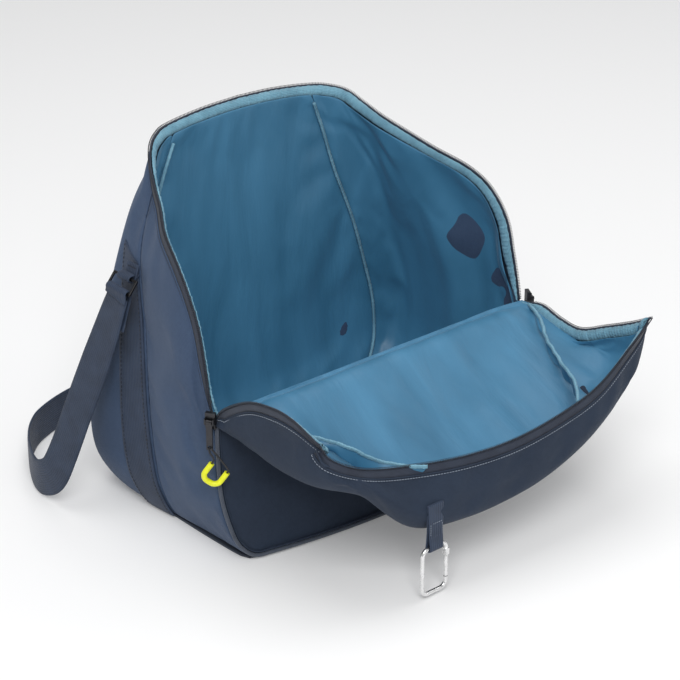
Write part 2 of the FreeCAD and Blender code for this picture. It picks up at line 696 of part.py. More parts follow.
# Shoulder strap with its rings, folded ends and loops
STRAP = [(205.6, 47, 227.0), (212, 50, 208), (228, 57, 160), (246, 68, 105), (258, 77, 64),
         (265, 88, 36), (266, 108, 23),
         (262, 127, 20.6), (253, 147, 20.3), (239, 171, 20.3), (221, 193, 20.3), (196, 212, 20.3),
         (150, 229, 20.3),
         (80, 239, 20.3), (0, 242, 20.3)]
ACROSS = [(0, 1, 0.05), (0, 1, 0.1), (0.1, 1, 0.15), (0.1, 1, 0.2), (0.05, 0.9, 0.35), (0, 0.62, 0.75),
          (0, 0.2, 0.98),
          (0, 0.05, 1), (0, 0, 1), (0, 0, 1), (0, 0, 1), (0, 0, 1), (0, 0, 1), (0, 0, 1), (0, 0, 1)]
right_line = [vec(p) for p in STRAP]
right_across = [vec(p) for p in ACROSS]
strap_line = right_line + [V(-p.x, p.y, p.z) for p in right_line[-2::-1]]
strap_across = right_across + [V(-a.x, a.y, a.z) for a in right_across[-2::-1]]


def band_varied(points, across, widths, thickness):
    one = []
    two = []
    for k, p in enumerate(points):
        a = V(across[k])
        t = points[min(k + 1, len(points) - 1)] - points[max(k - 1, 0)]
        t.normalize()
        a = a - t * a.dot(t)
        a.normalize()
        n = a.cross(t)
        n.normalize()
        h = widths[k] / 2
        one.append([p - a * h + n * (thickness / 2), p + a * h + n * (thickness / 2)])
        two.append([p - a * h - n * (thickness / 2), p + a * h - n * (thickness / 2)])
    return slab(one, two)


half_widths = [31.0, 35.0] + [WEB_W] * (len(right_line) - 2)
parts["shoulder_strap"] = band_varied(strap_line, strap_across, half_widths + half_widths[-2::-1],
                                      STRAP_T)
for side, tag in ((1, "right"), (-1, "left")):
    fold_line = [V(side * (p.x - 5.6), p.y, p.z - 1.4) for p in right_line[:3]]
    fold_line[2] = fold_line[1] + (fold_line[2] - fold_line[1]) * 0.9
    parts["strap_end_" + tag] = band_varied(fold_line, right_across[:3] if side > 0 else
                                            [V(-a.x, a.y, a.z) for a in right_across[:3]],
                                            [30.0, 34.0, 37.0], 2.0)
    ring_path = [V(side * 193.5, 47, 241.5), V(side * 193.5, 64.5, 241.5), V(side * 202.5, 64.5, 230.5),
                 V(side * 202.5, 29.5, 230.5), V(side * 193.5, 29.5, 241.5)]
    bars = []
    corners = ring_path[1:]
    for k in range(4):
        a = corners[k]
        b = corners[(k + 1) % 4]
        bars.append(Part.makeCylinder(1.4, (b - a).Length, a, b - a))
        bars.append(Part.makeSphere(1.4, a))
    ring = bars[0]
    for piece in bars[1:]:
        ring = ring.fuse(piece)
    parts["ring_" + tag] = ring.removeSplitter()
    x0, x1 = sorted((side * 189.4, side * 196.6))
    loop = box(x0, x1, RING_Y - 10, RING_Y + 10, 238.4, 244.6)
    loop = loop.cut(Part.makeCylinder(1.6, 24, V(side * 193.5, RING_Y - 12, 241.5), V(0, 1, 0)))
    parts["strap_loop_" + tag] = loop
    x0, x1 = sorted((side * 182.0, side * 188.9))
    anchor = box(x0, x1, RING_Y - 7, RING_Y + 7, 238.0, 252.0)
    parts["strap_anchor_" + tag] = trimmed(anchor, parts["side_webbing_" + tag],
                                           parts["side_rear_" + tag])

for name, shape in sorted(parts.items()):
    print(name, round(shape.Volume), shape.isValid(), len(shape.Solids))

os.makedirs("parts", exist_ok=True)
for name, shape in parts.items():
    shape.exportStep("parts/" + name + ".step")
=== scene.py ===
# %% [markdown]
# # A soft bag for ski boots
# The bag stands open: its front flap hangs forward on the zip ends, and the shoulder strap lies behind it.
# Everything is in metres, in the frame of the solid model: X across the bag, -Y its front, Z up, floor at zero.

# %% Load the frame
import bpy
import bmesh
import math
import random
import numpy as np
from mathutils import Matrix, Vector


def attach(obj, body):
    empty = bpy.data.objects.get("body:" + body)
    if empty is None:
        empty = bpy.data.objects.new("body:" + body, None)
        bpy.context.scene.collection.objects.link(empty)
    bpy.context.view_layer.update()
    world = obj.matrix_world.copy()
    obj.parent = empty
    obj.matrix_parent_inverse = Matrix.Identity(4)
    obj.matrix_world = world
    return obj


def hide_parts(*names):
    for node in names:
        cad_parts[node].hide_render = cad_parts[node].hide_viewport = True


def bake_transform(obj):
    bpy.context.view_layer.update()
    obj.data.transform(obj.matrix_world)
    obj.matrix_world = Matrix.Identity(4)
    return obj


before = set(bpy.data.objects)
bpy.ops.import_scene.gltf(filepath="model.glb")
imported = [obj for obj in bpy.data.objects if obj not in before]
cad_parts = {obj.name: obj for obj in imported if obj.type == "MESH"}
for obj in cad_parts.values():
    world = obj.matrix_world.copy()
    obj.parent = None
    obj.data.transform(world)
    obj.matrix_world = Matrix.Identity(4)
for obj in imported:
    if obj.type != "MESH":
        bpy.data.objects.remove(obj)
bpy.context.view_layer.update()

# %% [markdown]
# ## Camera, floor and light
# A long lens from the bag's front left, a little above it, keeps the sides nearly parallel. The light is a large
# soft box on each side with a bright even surround, so that the dark cloth shows its folds without hard shadows.

# %% Camera
AZIMUTH = math.radians(41.36)
ELEVATION = math.radians(25.28)
DISTANCE = 2.2
LENS = 116.5
back = Vector((-math.sin(AZIMUTH) * math.cos(ELEVATION), -math.cos(AZIMUTH) * math.cos(ELEVATION),
               math.sin(ELEVATION)))
right = Vector((math.cos(AZIMUTH), -math.sin(AZIMUTH), 0.0))
up = back.cross(right)
aim = Vector((0.0, -0.030, 0.170)) + right * 0.00905 - up * 0.0257
camera = bpy.data.objects.new("camera", bpy.data.cameras.new("camera"))
camera.data.lens = LENS
camera.data.sensor_width = 36.0
camera.data.clip_end = 50.0
camera.location = aim + back * DISTANCE
camera.rotation_euler = back.to_track_quat("Z", "Y").to_euler()
bpy.context.collection.objects.link(camera)
bpy.context.scene.camera = camera

# %% Floor and lights
floor_mesh = bpy.data.meshes.new("floor")
floor_mesh.from_pydata([(-8, -8, 0), (8, -8, 0), (8, 8, 0), (-8, 8, 0)], [], [(0, 1, 2, 3)])
floor = bpy.data.objects.new("floor", floor_mesh)
bpy.context.collection.objects.link(floor)
floor_finish = bpy.data.materials.new("floor_white")
floor_finish.use_nodes = True
floor_shader = floor_finish.node_tree.nodes["Principled BSDF"]
floor_shader.inputs["Base Color"].default_value = (0.80, 0.80, 0.80, 1.0)
floor_shader.inputs["Roughness"].default_value = 0.9
floor_shader.inputs["Emission Color"].default_value = (1.0, 1.0, 1.0, 1.0)
floor_shader.inputs["Emission Strength"].default_value = 0.12
floor_mesh.materials.append(floor_finish)


def soft_box(name, place, size, power):
    lamp = bpy.data.lights.new(name, "AREA")
    lamp.shape = "RECTANGLE"
    lamp.size = size[0]
    lamp.size_y = size[1]
    lamp.energy = power
    box = bpy.data.objects.new(name, lamp)
    box.location = place
    box.rotation_euler = (Vector(place) - Vector((0, 0, 0.15))).to_track_quat("Z", "Y").to_euler()
    bpy.context.collection.objects.link(box)
    return box


soft_box("key_light", (-1.6, -1.9, 2.4), (1.6, 1.6), 64.0)
soft_box("fill_light", (2.2, -1.2, 1.5), (1.8, 1.4), 9.0)
soft_box("top_light", (0.0, 0.3, 2.6), (2.2, 1.6), 22.0)
bpy.context.scene.view_settings.view_transform = "Standard"
world = bpy.data.worlds.new("studio")
bpy.context.scene.world = world
world.use_nodes = True
world.node_tree.nodes["Background"].inputs["Color"].default_value = (0.93, 0.935, 0.945, 1.0)
world.node_tree.nodes["Background"].inputs["Strength"].default_value = 0.5

# %% [markdown]
# ## Curves, patches and bands
# Cloth panels are cut between seams, so each one here is a patch stretched between four seam lines. A coarse patch
# keeps the seams exact, and subdivision rounds it. Tapes, bindings and webbing are bands that follow a line.


# %% Lines
def smooth(points, n):
    """n points evenly spaced along a smooth curve through the given ones."""
    p = np.array(points, float)
    ext = np.vstack([2 * p[0] - p[1], p, 2 * p[-1] - p[-2]])
    fine = []
    for k in range(len(p) - 1):
        a, b, c, d = ext[k], ext[k + 1], ext[k + 2], ext[k + 3]
        for t in np.linspace(0, 1, 24, endpoint=False):
            fine.append(0.5 * (2 * b + (c - a) * t + (2 * a - 5 * b + 4 * c - d) * t**2
                               + (3 * b - a - 3 * c + d) * t**3))
    fine.append(p[-1])
    fine = np.array(fine)
    run = np.concatenate([[0], np.cumsum(np.linalg.norm(np.diff(fine, axis=0), axis=1))])
    s = np.linspace(0, run[-1], n)
    return np.stack([np.interp(s, run, fine[:, i]) for i in range(3)], axis=1)


def flipped(points):
    """The same points on the other side of the bag."""
    return np.array(points, float) * np.array([-1.0, 1.0, 1.0])


def unit(v):
    v = np.array(v, float)
    length = np.linalg.norm(v, axis=-1, keepdims=True)
    return v / np.where(length < 1e-12, 1.0, length)


def tangents(p):
    return unit(np.gradient(np.array(p, float), axis=0))


# %% Patches
def patch(bottom, top, left, right_side, nu, nv):
    """A grid of nv rows by nu columns between four joined lines (a Coons patch)."""
    b = smooth(bottom, nu)
    t = smooth(top, nu)
    l = smooth(left, nv)
    r = smooth(right_side, nv)
    u = np.linspace(0, 1, nu)[None, :, None]
    v = np.linspace(0, 1, nv)[:, None, None]
    grid = b[None] * (1 - v) + t[None] * v + l[:, None] * (1 - u) + r[:, None] * u
    grid = grid - b[0] * (1 - u) * (1 - v) - b[-1] * u * (1 - v) - t[0] * (1 - u) * v - t[-1] * u * v
    return grid


def grid_normals(grid, outward):
    """Unit normals of a grid, turned so that they point roughly outward."""
    n = unit(np.cross(np.gradient(grid, axis=1), np.gradient(grid, axis=0)))
    middle = n[n.shape[0] // 2, n.shape[1] // 2]
    return n if np.dot(middle, outward) > 0 else -n


def add_grid(name, grid, outward, body=None):
    """A mesh of quads over a grid, with a UV map in metres of cloth, its faces pointing outward."""
    rows, cols = grid.shape[:2]
    across = np.concatenate([np.zeros((rows, 1)), np.cumsum(np.linalg.norm(np.diff(grid, axis=1), axis=2),
                                                            axis=1)], axis=1)
    along = np.concatenate([np.zeros((1, cols)), np.cumsum(np.linalg.norm(np.diff(grid, axis=0), axis=2),
                                                           axis=0)], axis=0)
    across = across - across.mean(axis=1, keepdims=True)
    n = unit(np.cross(np.gradient(grid, axis=1), np.gradient(grid, axis=0)))
    turn = np.dot(n[rows // 2, cols // 2], outward) < 0
    verts = grid.reshape(-1, 3)
    uv = np.stack([across, along], axis=2).reshape(-1, 2)
    faces = []
    for j in range(rows - 1):
        for i in range(cols - 1):
            quad = (j * cols + i, j * cols + i + 1, (j + 1) * cols + i + 1, (j + 1) * cols + i)
            faces.append(quad[::-1] if turn else quad)
    mesh = bpy.data.meshes.new(name)
    mesh.from_pydata([tuple(v) for v in verts], [], faces)
    layer = mesh.uv_layers.new(name="cloth")
    for loop in mesh.loops:
        layer.data[loop.index].uv = uv[loop.vertex_index]
    mesh.shade_smooth()
    obj = bpy.data.objects.new(name, mesh)
    bpy.context.collection.objects.link(obj)
    if body:
        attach(obj, body)
    return obj


def finish_with(obj, kind, name, **settings):
    """Adds one live modifier with its settings."""
    mod = obj.modifiers.new(name, kind)
    for key, value in settings.items():
        setattr(mod, key, value)
    return mod


def thicken(obj, thickness, levels=1):
    """A live wall inward from the outer face, its hems rounded by subdivision."""
    finish_with(obj, "SOLIDIFY", "wall", thickness=thickness, offset=-1.0, use_even_offset=False)
    finish_with(obj, "SUBSURF", "round", levels=levels, render_levels=levels)


def apply_all(obj):
    """Bakes the modifier stack into the mesh."""
    graph = bpy.context.evaluated_depsgraph_get()
    mesh = bpy.data.meshes.new_from_object(obj.evaluated_get(graph))
    obj.modifiers.clear()
    old = obj.data
    obj.data = mesh
    mesh.name = old.name
    bpy.data.meshes.remove(old)
    return obj


# %% Bands, rods and stitches
def band_grid(line, across, widths, lift=0.0, columns=5):
    """Rows across a band that follows line; across gives its width direction at each point."""
    line = np.array(line, float)
    across = unit(np.array(across, float))
    t = tangents(line)
    across = unit(across - t * (across * t).sum(axis=1, keepdims=True))
    n = np.cross(across, t)
    widths = np.broadcast_to(np.array(widths, float), (len(line),))
    s = np.linspace(-0.5, 0.5, columns)
    return line[:, None] + across[:, None] * (widths[:, None, None] * s[None, :, None]) + n[:, None] * lift


def add_rod(name, line, radius, body=None, sides=8, radii=None):
    """A round strip swept along a line, its ends closed."""
    line = np.array(line, float)
    t = tangents(line)
    side = np.cross(t[0], (0, 0, 1) if abs(t[0][2]) < 0.8 else (0, 1, 0))
    verts = []
    for k, p in enumerate(line):
        side = side - t[k] * np.dot(side, t[k])
        side = side / np.linalg.norm(side)
        high = np.cross(t[k], side)
        r = radius if radii is None else radii[k]
        for s in range(sides):
            a = 2 * math.pi * s / sides
            verts.append(p + side * (r * math.cos(a)) + high * (r * math.sin(a)))
    faces = []
    for k in range(len(line) - 1):
        for s in range(sides):
            m = (s + 1) % sides
            faces.append((k * sides + s, k * sides + m, (k + 1) * sides + m, (k + 1) * sides + s))
    faces.append(tuple(range(sides))[::-1])
    faces.append(tuple((len(line) - 1) * sides + s for s in range(sides)))
    mesh = bpy.data.meshes.new(name)
    mesh.from_pydata([tuple(v) for v in verts], [], faces)
    layer = mesh.uv_layers.new(name="cloth")
    run = np.concatenate([[0], np.cumsum(np.linalg.norm(np.diff(line, axis=0), axis=1))])
    for loop in mesh.loops:
        k, s = divmod(loop.vertex_index, sides)
        layer.data[loop.index].uv = (2 * math.pi * radius * s / sides, run[k])
    mesh.shade_smooth()
    obj = bpy.data.objects.new(name, mesh)
    bpy.context.collection.objects.link(obj)
    if body:
        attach(obj, body)
    return obj


def add_stitches(name, line, normals, pitch=0.0034, length=0.0023, width=0.0006, body=None):
    """A row of short thread bars lying on the cloth along a line."""
    line = np.array(line, float)
    run = np.concatenate([[0], np.cumsum(np.linalg.norm(np.diff(line, axis=0), axis=1))])
    count = int(run[-1] / pitch)
    verts = []
    faces = []
    for k in range(count):
        s = (k + 0.5) * pitch
        p = np.array([np.interp(s, run, line[:, i]) for i in range(3)])
        q = np.array([np.interp(s + 0.0005, run, line[:, i]) for i in range(3)])
        t = unit(q - p)
        n = np.array([np.interp(s, run, normals[:, i]) for i in range(3)])
        n = unit(n - t * np.dot(n, t))
        b = np.cross(n, t)
        base = len(verts)
        for x, h in ((-0.5, -0.35), (-0.25, 0.35), (0.25, 0.35), (0.5, -0.35)):
            for side in (-1, 1):
                verts.append(p + t * (x * length) + b * (side * width * (0.5 if abs(x) < 0.4 else 0.3)) + n * (h * width))
        for m in range(3):
            a = base + 2 * m
            faces.append((a, a + 1, a + 3, a + 2))
        faces.append((base, base + 2, base + 4, base + 6))
        faces.append((base + 1, base + 7, base + 5, base + 3))
        faces.append((base, base + 6, base + 7, base + 1))
    mesh = bpy.data.meshes.new(name)
    mesh.from_pydata([tuple(v) for v in verts], [], faces)
    bm = bmesh.new()
    bm.from_mesh(mesh)
    bmesh.ops.recalc_face_normals(bm, faces=bm.faces)
    bm.to_mesh(mesh)
    bm.free()
    obj = bpy.data.objects.new(name, mesh)
    bpy.context.collection.objects.link(obj)
    if body:
        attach(obj, body)
    return obj


# %% [markdown]
# ## Letting cloth settle
# Sewn cloth is never as flat as its pattern. A panel held at its seams, with a little more cloth than the seams need,
# is left to settle under a slight pull, and the small hollows and folds that come are real ones.

# %% Settle
settled = []


def settle(obj, pinned, slack=0.012, pull=(0.0, 0.0, -0.6), push=0.0, limit=0.006, frames=16, stiff=1.5):
    """Runs a short cloth simulation on a grid mesh, held at the pinned points, and keeps the result."""
    scene = bpy.context.scene
    rest = np.array([v.co for v in obj.data.vertices])
    group = obj.vertex_groups.new(name="seams")
    group.add([int(k) for k in pinned], 1.0, "REPLACE")
    cloth = obj.modifiers.new("Cloth", "CLOTH")
    cloth.settings.quality = 5
    cloth.settings.mass = 0.15
    cloth.settings.tension_stiffness = 12.0
    cloth.settings.compression_stiffness = 12.0
    cloth.settings.shear_stiffness = 4.0
    cloth.settings.bending_stiffness = stiff
    cloth.settings.air_damping = 2.0
    cloth.settings.shrink_min = -slack
    cloth.settings.vertex_group_mass = "seams"
    cloth.settings.use_pressure = push != 0.0
    cloth.settings.uniform_pressure_force = push
    cloth.settings.effector_weights.gravity = 1.0
    cloth.point_cache.frame_start = 1
    cloth.point_cache.frame_end = frames
    scene.use_gravity = True
    scene.gravity = pull
    for f in range(1, frames + 1):
        scene.frame_set(f)
    graph = bpy.context.evaluated_depsgraph_get()
    held = obj.evaluated_get(graph)
    moved = np.array([v.co for v in held.data.vertices])
    obj.modifiers.remove(cloth)
    obj.vertex_groups.clear()
    step = moved - rest
    reach = np.linalg.norm(step, axis=1, keepdims=True)
    step = step * np.where(reach > limit, limit / np.maximum(reach, 1e-9), 1.0)
    step = np.nan_to_num(step)
    for v, s in zip(obj.data.vertices, step):
        v.co = v.co + Vector(s)
    scene.frame_set(1)
    settled.append((obj.name, round(float(np.abs(step).max()) * 1000, 1)))
    return obj


def border(rows, cols, width=1):
    """Indices of the outermost rows and columns of a grid mesh."""
    return [j * cols + i for j in range(rows) for i in range(cols)
            if j < width or j >= rows - width or i < width or i >= cols - width]


# %% [markdown]
# ## Cloth and metal finishes
# The shell is a matt plain weave, so its colour varies thread by thread. The lining is satin, which is smoother and
# shines along its folds. Webbing is ribbed, and each rib is its own round of thread.


# %% Plain weave
def plain_weave(name, dark, light, thread=0.0010, relief=0.00022, roughness=0.78, sheen=0.25, mottle=0.35):
    """Matt cloth: crossing threads in colour and height over a slow change of tone."""
    mat = bpy.data.materials.new(name)
    mat.use_nodes = True
    nodes = mat.node_tree.nodes
    links = mat.node_tree.links
    nodes.clear()
    weave_frame = nodes.new("NodeFrame")
    weave_frame.label = "crossing threads"
    tone_frame = nodes.new("NodeFrame")
    tone_frame.label = "tone and handling"
    cloth_map = nodes.new("ShaderNodeUVMap")
    cloth_map.label = "metres along the cloth"
    cloth_map.uv_map = "cloth"
    cloth_map.parent = weave_frame
    warp = nodes.new("ShaderNodeTexWave")
    warp.label = "warp threads"
    warp.bands_direction = "X"
    warp.parent = weave_frame
    warp.inputs["Scale"].default_value = 0.31416 / thread
    warp.inputs["Distortion"].default_value = 0.6
    warp.inputs["Detail"].default_value = 1.0
    warp.inputs["Detail Scale"].default_value = 2.0
    weft = nodes.new("ShaderNodeTexWave")
    weft.label = "weft threads"
    weft.bands_direction = "Y"
    weft.parent = weave_frame
    weft.inputs["Scale"].default_value = 0.31416 / (thread * 1.15)
    weft.inputs["Distortion"].default_value = 0.6
    weft.inputs["Detail"].default_value = 1.0
    cross = nodes.new("ShaderNodeMath")
    cross.label = "threads over and under"
    cross.operation = "MULTIPLY"
    cross.parent = weave_frame
    place = nodes.new("ShaderNodeTexCoord")
    place.label = "place on the bag"
    place.parent = tone_frame
    cloud = nodes.new("ShaderNodeTexNoise")
    cloud.label = "slow change of tone"
    cloud.parent = tone_frame
    cloud.inputs["Scale"].default_value = 14.0
    cloud.inputs["Detail"].default_value = 5.0
    cloud.inputs["Roughness"].default_value = 0.6
    slub = nodes.new("ShaderNodeTexNoise")
    slub.label = "uneven yarn"
    slub.parent = tone_frame
    slub.inputs["Scale"].default_value = 260.0
    slub.inputs["Detail"].default_value = 2.0
    tone = nodes.new("ShaderNodeMix")
    tone.label = "yarn within tone"
    tone.data_type = "FLOAT"
    tone.parent = tone_frame
    tone.inputs[0].default_value = mottle
    shade = nodes.new("ShaderNodeMath")
    shade.label = "threads catch light"
    shade.operation = "ADD"
    colour = nodes.new("ShaderNodeValToRGB")
    colour.label = "thread colours"
    colour.color_ramp.elements[0].position = 0.25
    colour.color_ramp.elements[0].color = (*dark, 1.0)
    colour.color_ramp.elements[1].position = 1.0
    colour.color_ramp.elements[1].color = (*light, 1.0)
    bump = nodes.new("ShaderNodeBump")
    bump.label = "thread height"
    bump.inputs["Strength"].default_value = 0.55
    bump.inputs["Distance"].default_value = relief
    soft = nodes.new("ShaderNodeBump")
    soft.label = "soft handling marks"
    soft.inputs["Strength"].default_value = 0.35
    soft.inputs["Distance"].default_value = 0.004
    cloth = nodes.new("ShaderNodeBsdfPrincipled")
    cloth.label = "matt cloth"
    cloth.inputs["Roughness"].default_value = roughness
    cloth.inputs["Sheen Weight"].default_value = sheen
    cloth.inputs["Sheen Roughness"].default_value = 0.45
    cloth.inputs["Sheen Tint"].default_value = (0.62, 0.70, 0.85, 1.0)
    cloth.inputs["Specular IOR Level"].default_value = 0.30
    surface = nodes.new("ShaderNodeOutputMaterial")
    surface.label = "surface"
    links.new(cloth_map.outputs["UV"], warp.inputs["Vector"])
    links.new(cloth_map.outputs["UV"], weft.inputs["Vector"])
    links.new(warp.outputs["Fac"], cross.inputs[0])
    links.new(weft.outputs["Fac"], cross.inputs[1])
    links.new(place.outputs["Object"], cloud.inputs["Vector"])
    links.new(place.outputs["Object"], slub.inputs["Vector"])
    links.new(cloud.outputs["Fac"], tone.inputs[2])
    links.new(slub.outputs["Fac"], tone.inputs[3])
    links.new(cross.outputs[0], shade.inputs[0])
    links.new(tone.outputs[0], shade.inputs[1])
    links.new(shade.outputs[0], colour.inputs["Fac"])
    links.new(colour.outputs["Color"], cloth.inputs["Base Color"])
    links.new(cloud.outputs["Fac"], soft.inputs["Height"])
    links.new(cross.outputs[0], bump.inputs["Height"])
    links.new(soft.outputs["Normal"], bump.inputs["Normal"])
    links.new(bump.outputs["Normal"], cloth.inputs["Normal"])
    links.new(cloth.outputs["BSDF"], surface.inputs["Surface"])
    for k, node in enumerate(n for n in nodes if n.type != "FRAME"):
        node.location = (-1100 + 230 * (k // 3), 260 - 260 * (k % 3))
    return mat


# %% Ribbed webbing
def ribbed_webbing(name, dark, light, rib=0.0024, relief=0.0005, roughness=0.6, sheen=0.15):
    """Webbing and gathered tape: ribs along the strip crossed by fine weft."""
    mat = bpy.data.materials.new(name)
    mat.use_nodes = True
    nodes = mat.node_tree.nodes
    links = mat.node_tree.links
    nodes.clear()
    rib_frame = nodes.new("NodeFrame")
    rib_frame.label = "ribs and weft"
    strip_map = nodes.new("ShaderNodeUVMap")
    strip_map.label = "metres along the strip"
    strip_map.uv_map = "cloth"
    strip_map.parent = rib_frame
    ribs = nodes.new("ShaderNodeTexWave")
    ribs.label = "lengthwise ribs"
    ribs.bands_direction = "X"
    ribs.parent = rib_frame
    ribs.inputs["Scale"].default_value = 0.31416 / rib
    ribs.inputs["Distortion"].default_value = 0.3
    ribs.inputs["Detail"].default_value = 1.0
    weft = nodes.new("ShaderNodeTexWave")
    weft.label = "cross threads"
    weft.bands_direction = "Y"
    weft.parent = rib_frame
    weft.inputs["Scale"].default_value = 0.31416 / 0.0011
    weft.inputs["Distortion"].default_value = 1.2
    weft.inputs["Detail"].default_value = 1.0
    height = nodes.new("ShaderNodeMix")
    height.label = "ribs over weft"
    height.data_type = "FLOAT"
    height.parent = rib_frame
    height.inputs[0].default_value = 0.35
    place = nodes.new("ShaderNodeTexCoord")
    place.label = "place on the bag"
    wear = nodes.new("ShaderNodeTexNoise")
    wear.label = "worn and dusty patches"
    wear.inputs["Scale"].default_value = 55.0
    wear.inputs["Detail"].default_value = 4.0
    shade = nodes.new("ShaderNodeMath")
    shade.label = "light on the ribs"
    shade.operation = "MULTIPLY_ADD"
    shade.inputs[1].default_value = 0.55
    colour = nodes.new("ShaderNodeValToRGB")
    colour.label = "thread colours"
    colour.color_ramp.elements[0].position = 0.3
    colour.color_ramp.elements[0].color = (*dark, 1.0)
    colour.color_ramp.elements[1].position = 1.0
    colour.color_ramp.elements[1].color = (*light, 1.0)
    bump = nodes.new("ShaderNodeBump")
    bump.label = "rib height"
    bump.inputs["Strength"].default_value = 0.7
    bump.inputs["Distance"].default_value = relief
    strip = nodes.new("ShaderNodeBsdfPrincipled")
    strip.label = "webbing"
    strip.inputs["Roughness"].default_value = roughness
    strip.inputs["Sheen Weight"].default_value = sheen
    strip.inputs["Sheen Roughness"].default_value = 0.5
    strip.inputs["Specular IOR Level"].default_value = 0.35
    surface = nodes.new("ShaderNodeOutputMaterial")
    surface.label = "surface"
    links.new(strip_map.outputs["UV"], ribs.inputs["Vector"])
    links.new(strip_map.outputs["UV"], weft.inputs["Vector"])
    links.new(ribs.outputs["Fac"], height.inputs[2])
    links.new(weft.outputs["Fac"], height.inputs[3])
    links.new(place.outputs["Object"], wear.inputs["Vector"])
    links.new(height.outputs[0], shade.inputs[0])
    links.new(wear.outputs["Fac"], shade.inputs[2])
    links.new(shade.outputs[0], colour.inputs["Fac"])
    links.new(colour.outputs["Color"], strip.inputs["Base Color"])
    links.new(height.outputs[0], bump.inputs["Height"])
    links.new(bump.outputs["Normal"], strip.inputs["Normal"])
    links.new(strip.outputs["BSDF"], surface.inputs["Surface"])
    for k, node in enumerate(n for n in nodes if n.type != "FRAME"):
        node.location = (-1000 + 230 * (k // 3), 260 - 260 * (k % 3))
    return mat


# %% Satin lining
def satin(name, dark, light, roughness=0.42, sheen=0.5):
    """Lining cloth: fine threads, low shine across soft folds, and painted shade and light: the colour is darker in
    the hollows of the small creases and lighter on their crests.
    """
    mat = bpy.data.materials.new(name)
    mat.use_nodes = True
    nodes = mat.node_tree.nodes
    links = mat.node_tree.links
    nodes.clear()
    thread_frame = nodes.new("NodeFrame")
    thread_frame.label = "fine satin threads"
    cloth_map = nodes.new("ShaderNodeUVMap")
    cloth_map.label = "metres along the cloth"
    cloth_map.uv_map = "cloth"
    cloth_map.parent = thread_frame
    threads = nodes.new("ShaderNodeTexWave")
    threads.label = "long floats"
    threads.bands_direction = "X"
    threads.parent = thread_frame
    threads.inputs["Scale"].default_value = 0.31416 / 0.0008
    threads.inputs["Distortion"].default_value = 1.5
    threads.inputs["Detail"].default_value = 1.0
    place = nodes.new("ShaderNodeTexCoord")
    place.label = "place on the bag"
    drawn_out = nodes.new("ShaderNodeMapping")
    drawn_out.label = "creases run down the cloth"
    drawn_out.inputs["Scale"].default_value = (1.0, 0.4, 0.25)
    # Crease relief, which also drives the colour as painted shade in its hollows and painted light on its crests.
    crush = nodes.new("ShaderNodeTexNoise")
    crush.label = "crease relief with painted shade"
    crush.inputs["Scale"].default_value = 24.0
    crush.inputs["Detail"].default_value = 4.0
    crush.inputs["Distortion"].default_value = 0.4
    # Painted shade and painted light: the colour follows the crease relief, darker in its hollows and lighter on its
    # crests.
    colour = nodes.new("ShaderNodeValToRGB")
    colour.label = "painted crease shade and light"
    colour.color_ramp.elements[0].position = 0.20
    colour.color_ramp.elements[0].color = (*dark, 1.0)
    colour.color_ramp.elements[1].position = 0.82
    colour.color_ramp.elements[1].color = (*light, 1.0)
    gloss = nodes.new("ShaderNodeMapRange")
    gloss.label = "shine where it is smooth"
    gloss.inputs["To Min"].default_value = roughness - 0.06
    gloss.inputs["To Max"].default_value = roughness + 0.12
    crease = nodes.new("ShaderNodeBump")
    crease.label = "small creases"
    crease.inputs["Strength"].default_value = 0.5
    crease.inputs["Distance"].default_value = 0.006
    bump = nodes.new("ShaderNodeBump")
    bump.label = "thread height"
    bump.inputs["Strength"].default_value = 0.3
    bump.inputs["Distance"].default_value = 0.0001
    cloth = nodes.new("ShaderNodeBsdfPrincipled")
    cloth.label = "satin"
    cloth.inputs["Sheen Weight"].default_value = sheen
    cloth.inputs["Sheen Roughness"].default_value = 0.35
    cloth.inputs["Sheen Tint"].default_value = (0.70, 0.90, 1.0, 1.0)
    cloth.inputs["Specular IOR Level"].default_value = 0.45
    surface = nodes.new("ShaderNodeOutputMaterial")
    surface.label = "surface"
    links.new(cloth_map.outputs["UV"], threads.inputs["Vector"])
    links.new(place.outputs["Object"], drawn_out.inputs["Vector"])
    links.new(drawn_out.outputs["Vector"], crush.inputs["Vector"])
    # Painted shade: the crease relief sets the colour.
    links.new(crush.outputs["Fac"], colour.inputs["Fac"])
    links.new(crush.outputs["Fac"], gloss.inputs["Value"])
    links.new(gloss.outputs["Result"], cloth.inputs["Roughness"])
    links.new(colour.outputs["Color"], cloth.inputs["Base Color"])
    links.new(crush.outputs["Fac"], crease.inputs["Height"])
    links.new(threads.outputs["Fac"], bump.inputs["Height"])
    links.new(crease.outputs["Normal"], bump.inputs["Normal"])
    links.new(bump.outputs["Normal"], cloth.inputs["Normal"])
    links.new(cloth.outputs["BSDF"], surface.inputs["Surface"])
    for k, node in enumerate(n for n in nodes if n.type != "FRAME"):
        node.location = (-1000 + 230 * (k // 3), 260 - 260 * (k % 3))
    return mat


